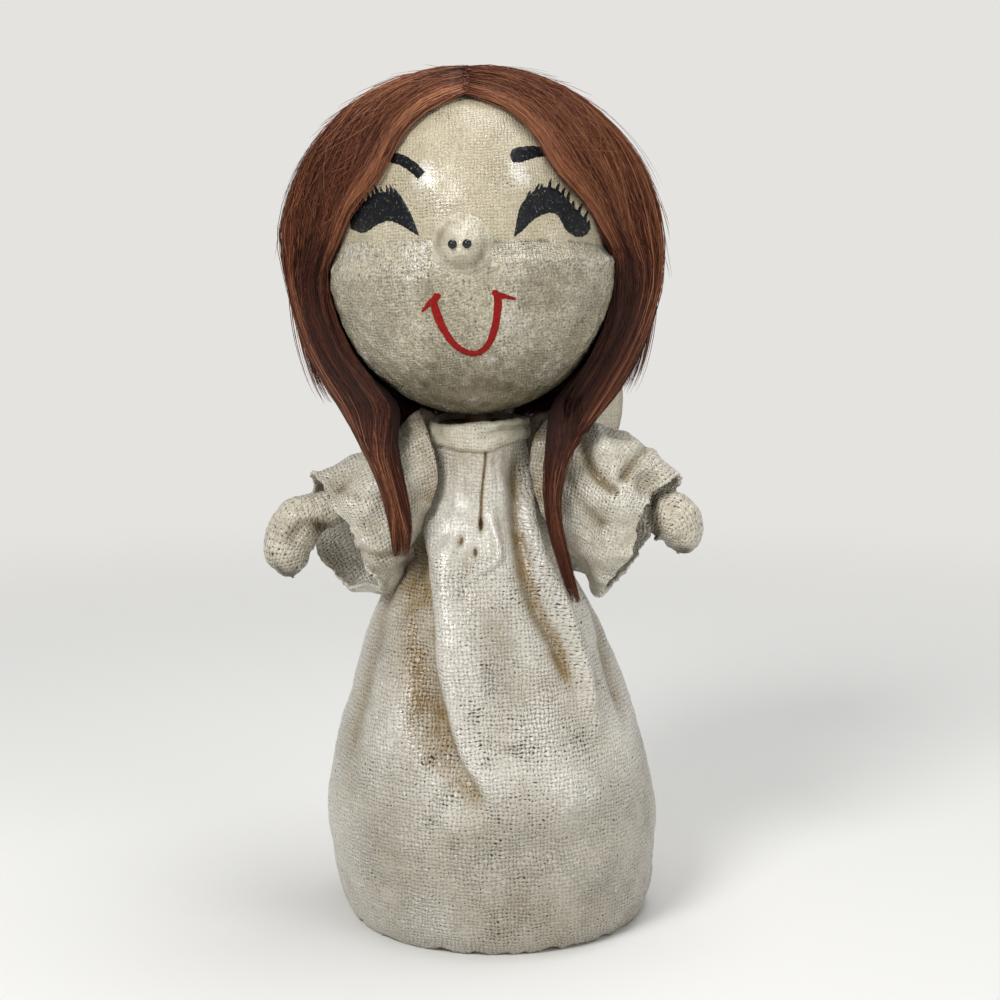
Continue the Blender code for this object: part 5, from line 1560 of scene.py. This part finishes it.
class DOLL_OT_wings(bpy.types.Operator):
    """Make the two cupped wings of stiff cloth"""

    bl_idname = "doll.wings"
    bl_label = "Wings"

    def execute(self, context):
        cloth, _, _ = settings()
        material = stiff_weave("glue-stiffened cotton, wings", "#e7e1d0", "#d2cab5", "#8f7c55",
                               cloth.gown_pitch, holes=0.3, seed=0.66)
        outline = through(WING_OUTLINE, 120, closed=True)
        centre = np.array(WING_CENTRE)
        rings = np.linspace(0.0, 1.0, 36)[:, None, None]
        flat = centre + (outline[None] - centre) * rings
        level = GOWN_TOP - WING_DROP
        gown_radius = float(read(GOWN_PROFILE, level - 6.0))
        root_y = math.sqrt(gown_radius**2 - WING_ASIDE**2) + 1.5
        for side, sign, sweep in (("left", -1.0, 34.0), ("right", 1.0, 30.0)):
            rough = stacked(flat[..., 0], 0.0, flat[..., 1])
            wave = lumps(rough, 13.0, 2.0 + sign, 2) * 0.5 + lumps(rough, 5.0, 6.0 + sign, 2) * 0.25
            cup = 0.6 * (rings[..., 0] ** 2 - 0.5)
            angle = math.radians(sweep)
            out = flat[..., 0]
            back = wave + cup
            points = stacked(
                axis_place(level) + sign * (WING_ASIDE + out * math.cos(angle) - back * math.sin(angle)),
                root_y + out * math.sin(angle) + back * math.cos(angle),
                level + flat[..., 1],
            )
            # Painted shade in the hollows of the waves, and darker towards the rim
            dirt_and_shade = np.clip(0.25 - 0.5 * wave + 0.4 * ease((rings[..., 0] - 0.9) / 0.1), 0.0, 1.0)
            uv = np.concatenate([flat, flat[:, :1]], axis=1)
            wing = grid_object("wing_cloth_" + side, points, material, uv, marks={"dirt_and_shade": dirt_and_shade})
            close_ring(wing, outline.shape[0], last=False)
            thicken(wing, WING_THICK)
            wing.modifiers["thickness"].offset = 0.0
            finish_piece(wing, "torso", "wing_" + side)
        return {"FINISHED"}


class DOLL_OT_inside(bpy.types.Operator):
    """Finish the pieces inside the doll: board, foam, peg and wire"""

    bl_idname = "doll.inside"
    bl_label = "Inner pieces"

    def execute(self, context):
        board = plain_grain("pressed cardboard", "#8a6d4a", "#6f5436", 1.2, roughness=0.85)
        # The foam and the peg are dark as painted shade where they show in the gap under the chin
        foam = plain_grain("foam darkened as painted shade", "#8f8468", "#6f654c", 2.5, roughness=0.9)
        wood = plain_grain("birch dowel darkened as painted shade", "#5a4429", "#46341f", 0.8, (1.0, 1.0, 0.06), 0.6)
        steel = plain_grain("drawn steel wire", "#8d8b87", "#6d6b68", 0.4, roughness=0.35, metallic=1.0)
        finishes = {"base_disc": board, "head_core": foam, "neck_dowel": wood, "arm_wire": steel}
        for name, material in finishes.items():
            mesh = frame["nodes"][name].data
            mesh.materials.clear()
            mesh.materials.append(material)
        self.core(foam)
        return {"FINISHED"}

    def core(self, foam):
        """Make the foam cone, kept clear of the gown's deepest folds."""
        low, high = (corner[2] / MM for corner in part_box("body_core"))
        stem = COLLAR_HIGH[0] - 2.8
        heights = np.concatenate([np.linspace(low, 118.0, 50), np.linspace(119.0, high, 16)])[:, None]
        cone = np.maximum(read(GOWN_PROFILE, heights) - 7.5, 6.0)
        radius = np.where(heights > COLLAR_LOW[2], stem, np.minimum(cone, stem + 30.0))
        columns = 72
        turn = turns_round(columns)
        points = around(radius, turn, heights)
        points[..., 0] += axis_place(heights)
        points = points + grid_normals(points) * (lumps(points, 4.0, 2.0, 2) * 0.2)[..., None]
        core = grid_object("foam_core", points, foam, arc_map(points))
        close_ring(core, columns)
        finish_piece(core, "torso", "body_core")


class DOLL_OT_stage(bpy.types.Operator):
    """Set the pale floor, the soft lights and the camera of the photograph"""

    bl_idname = "doll.stage"
    bl_label = "Stage"

    def execute(self, context):
        _, _, stage = settings()
        scene = context.scene
        scene.view_settings.view_transform = "Standard"
        self.floor(stage)
        self.lights(scene, stage)
        self.camera(scene)
        return {"FINISHED"}

    def floor(self, stage):
        """Make the round floor, whose rim bends up to a backdrop."""
        columns = 96
        bend = np.linspace(0.0, math.pi / 2, 24)
        reach = np.concatenate([[1.0], FLOOR_REACH + FLOOR_BEND * np.sin(bend)])[:, None]
        rise = np.concatenate([[0.0], FLOOR_BEND - FLOOR_BEND * np.cos(bend)])[:, None] - FLOOR_DROP
        turn = turns_round(columns)
        points = stacked(reach * np.cos(turn), reach * np.sin(turn), rise)
        floor = make_object("floor", points, grid_faces(len(reach), columns, True), self.paper(stage))

    def lights(self, scene, stage):
        """Set the round soft lights and the light of the room."""
        target = Vector(LIGHT_TARGET) * MM
        for name, place, size, share in LIGHTS:
            lamp = bpy.data.lights.new(name, "AREA")
            lamp.shape = "DISK"
            lamp.size = size * MM
            lamp.energy = stage.key * share
            holder = bpy.data.objects.new(name, lamp)
            holder.location = Vector(place) * MM
            holder.rotation_euler = (target - holder.location).to_track_quat("-Z", "Y").to_euler()
            scene.collection.objects.link(holder)
        world = bpy.data.worlds.new("soft room")
        world.use_nodes = True
        background = world.node_tree.nodes["Background"]
        background.inputs["Color"].default_value = solid("#eef0f2")
        background.inputs["Strength"].default_value = ROOM_LIGHT
        scene.world = world

    def camera(self, scene):
        """Set the camera of the photograph."""
        camera = bpy.data.cameras.new("photo camera")
        camera.lens = CAMERA_LENS
        camera.sensor_width = SENSOR
        camera.clip_start = 0.01
        holder = bpy.data.objects.new("photo camera", camera)
        holder.location = Vector(CAMERA_PLACE) * MM
        holder.rotation_euler = (math.radians(90.0 - CAMERA_PITCH), 0.0, 0.0)
        scene.collection.objects.link(holder)
        scene.camera = holder

    def paper(self, stage):
        """Matt paper: it takes the doll's shadow near by, and farther off the eye sees one even tone."""
        made, shader, add = new_material("matt paper sweep", Base_Color=(*stage.floor, 1), Roughness=0.9)
        away = add("VectorMath", add("TexCoord", out=3), operation="LENGTH", out=1)
        rays = add("LightPath").node.outputs
        seen = add("Math", rays["Is Camera Ray"], rays["Is Glossy Ray"], operation="MAXIMUM")
        seen = add("Math", seen, rays["Is Transmission Ray"], operation="MAXIMUM")
        far = add("MapRange", away, 0.25, 0.75, interpolation_type="SMOOTHSTEP")
        tone = add("Emission", (*stage.floor, 1), 1.0)
        mixed = add("MixShader", add("Math", far, seen, operation="MULTIPLY"), shader.outputs[0], tone)
        made.node_tree.links.new(mixed, made.node_tree.nodes["Material Output"].inputs["Surface"])
        return made


class DOLL_PT_panel(bpy.types.Panel):
    """Sidebar panel with the doll's pieces"""

    bl_idname = "DOLL_PT_panel"
    bl_label = "Cloth Angel Doll"
    bl_space_type = "VIEW_3D"
    bl_region_type = "UI"
    bl_category = "Doll"

    def draw(self, context):
        layout = self.layout
        for name in ("doll_cloth", "doll_hair", "doll_stage"):
            group = getattr(context.scene, name)
            for key in group.bl_rna.properties.keys():
                if key not in ("rna_type", "name"):
                    layout.prop(group, key)
        for operator in OPERATORS:
            layout.operator(operator.bl_idname)


OPERATORS = (
    DOLL_OT_inside, DOLL_OT_gown, DOLL_OT_collar, DOLL_OT_sleeves, DOLL_OT_hands, DOLL_OT_head, DOLL_OT_nose,
    DOLL_OT_paint, DOLL_OT_hair, DOLL_OT_wings, DOLL_OT_stage,
)
CLASSES = (ClothSettings, HairSettings, StageSettings, *OPERATORS, DOLL_PT_panel)


def register():
    """Register the settings, operators and panel."""
    for kind in CLASSES:
        bpy.utils.register_class(kind)
    bpy.types.Scene.doll_cloth = PointerProperty(type=ClothSettings)
    bpy.types.Scene.doll_hair = PointerProperty(type=HairSettings)
    bpy.types.Scene.doll_stage = PointerProperty(type=StageSettings)


def unregister():
    """Remove what register added."""
    del bpy.types.Scene.doll_stage
    del bpy.types.Scene.doll_hair
    del bpy.types.Scene.doll_cloth
    for kind in reversed(CLASSES):
        bpy.utils.unregister_class(kind)


def main():
    """Register the settings, operators and panel, and run every operator to dress the frame."""
    register()
    for operator in OPERATORS:
        getattr(bpy.ops.doll, operator.bl_idname.split(".")[1])()


if __name__ == "__main__":
    main()
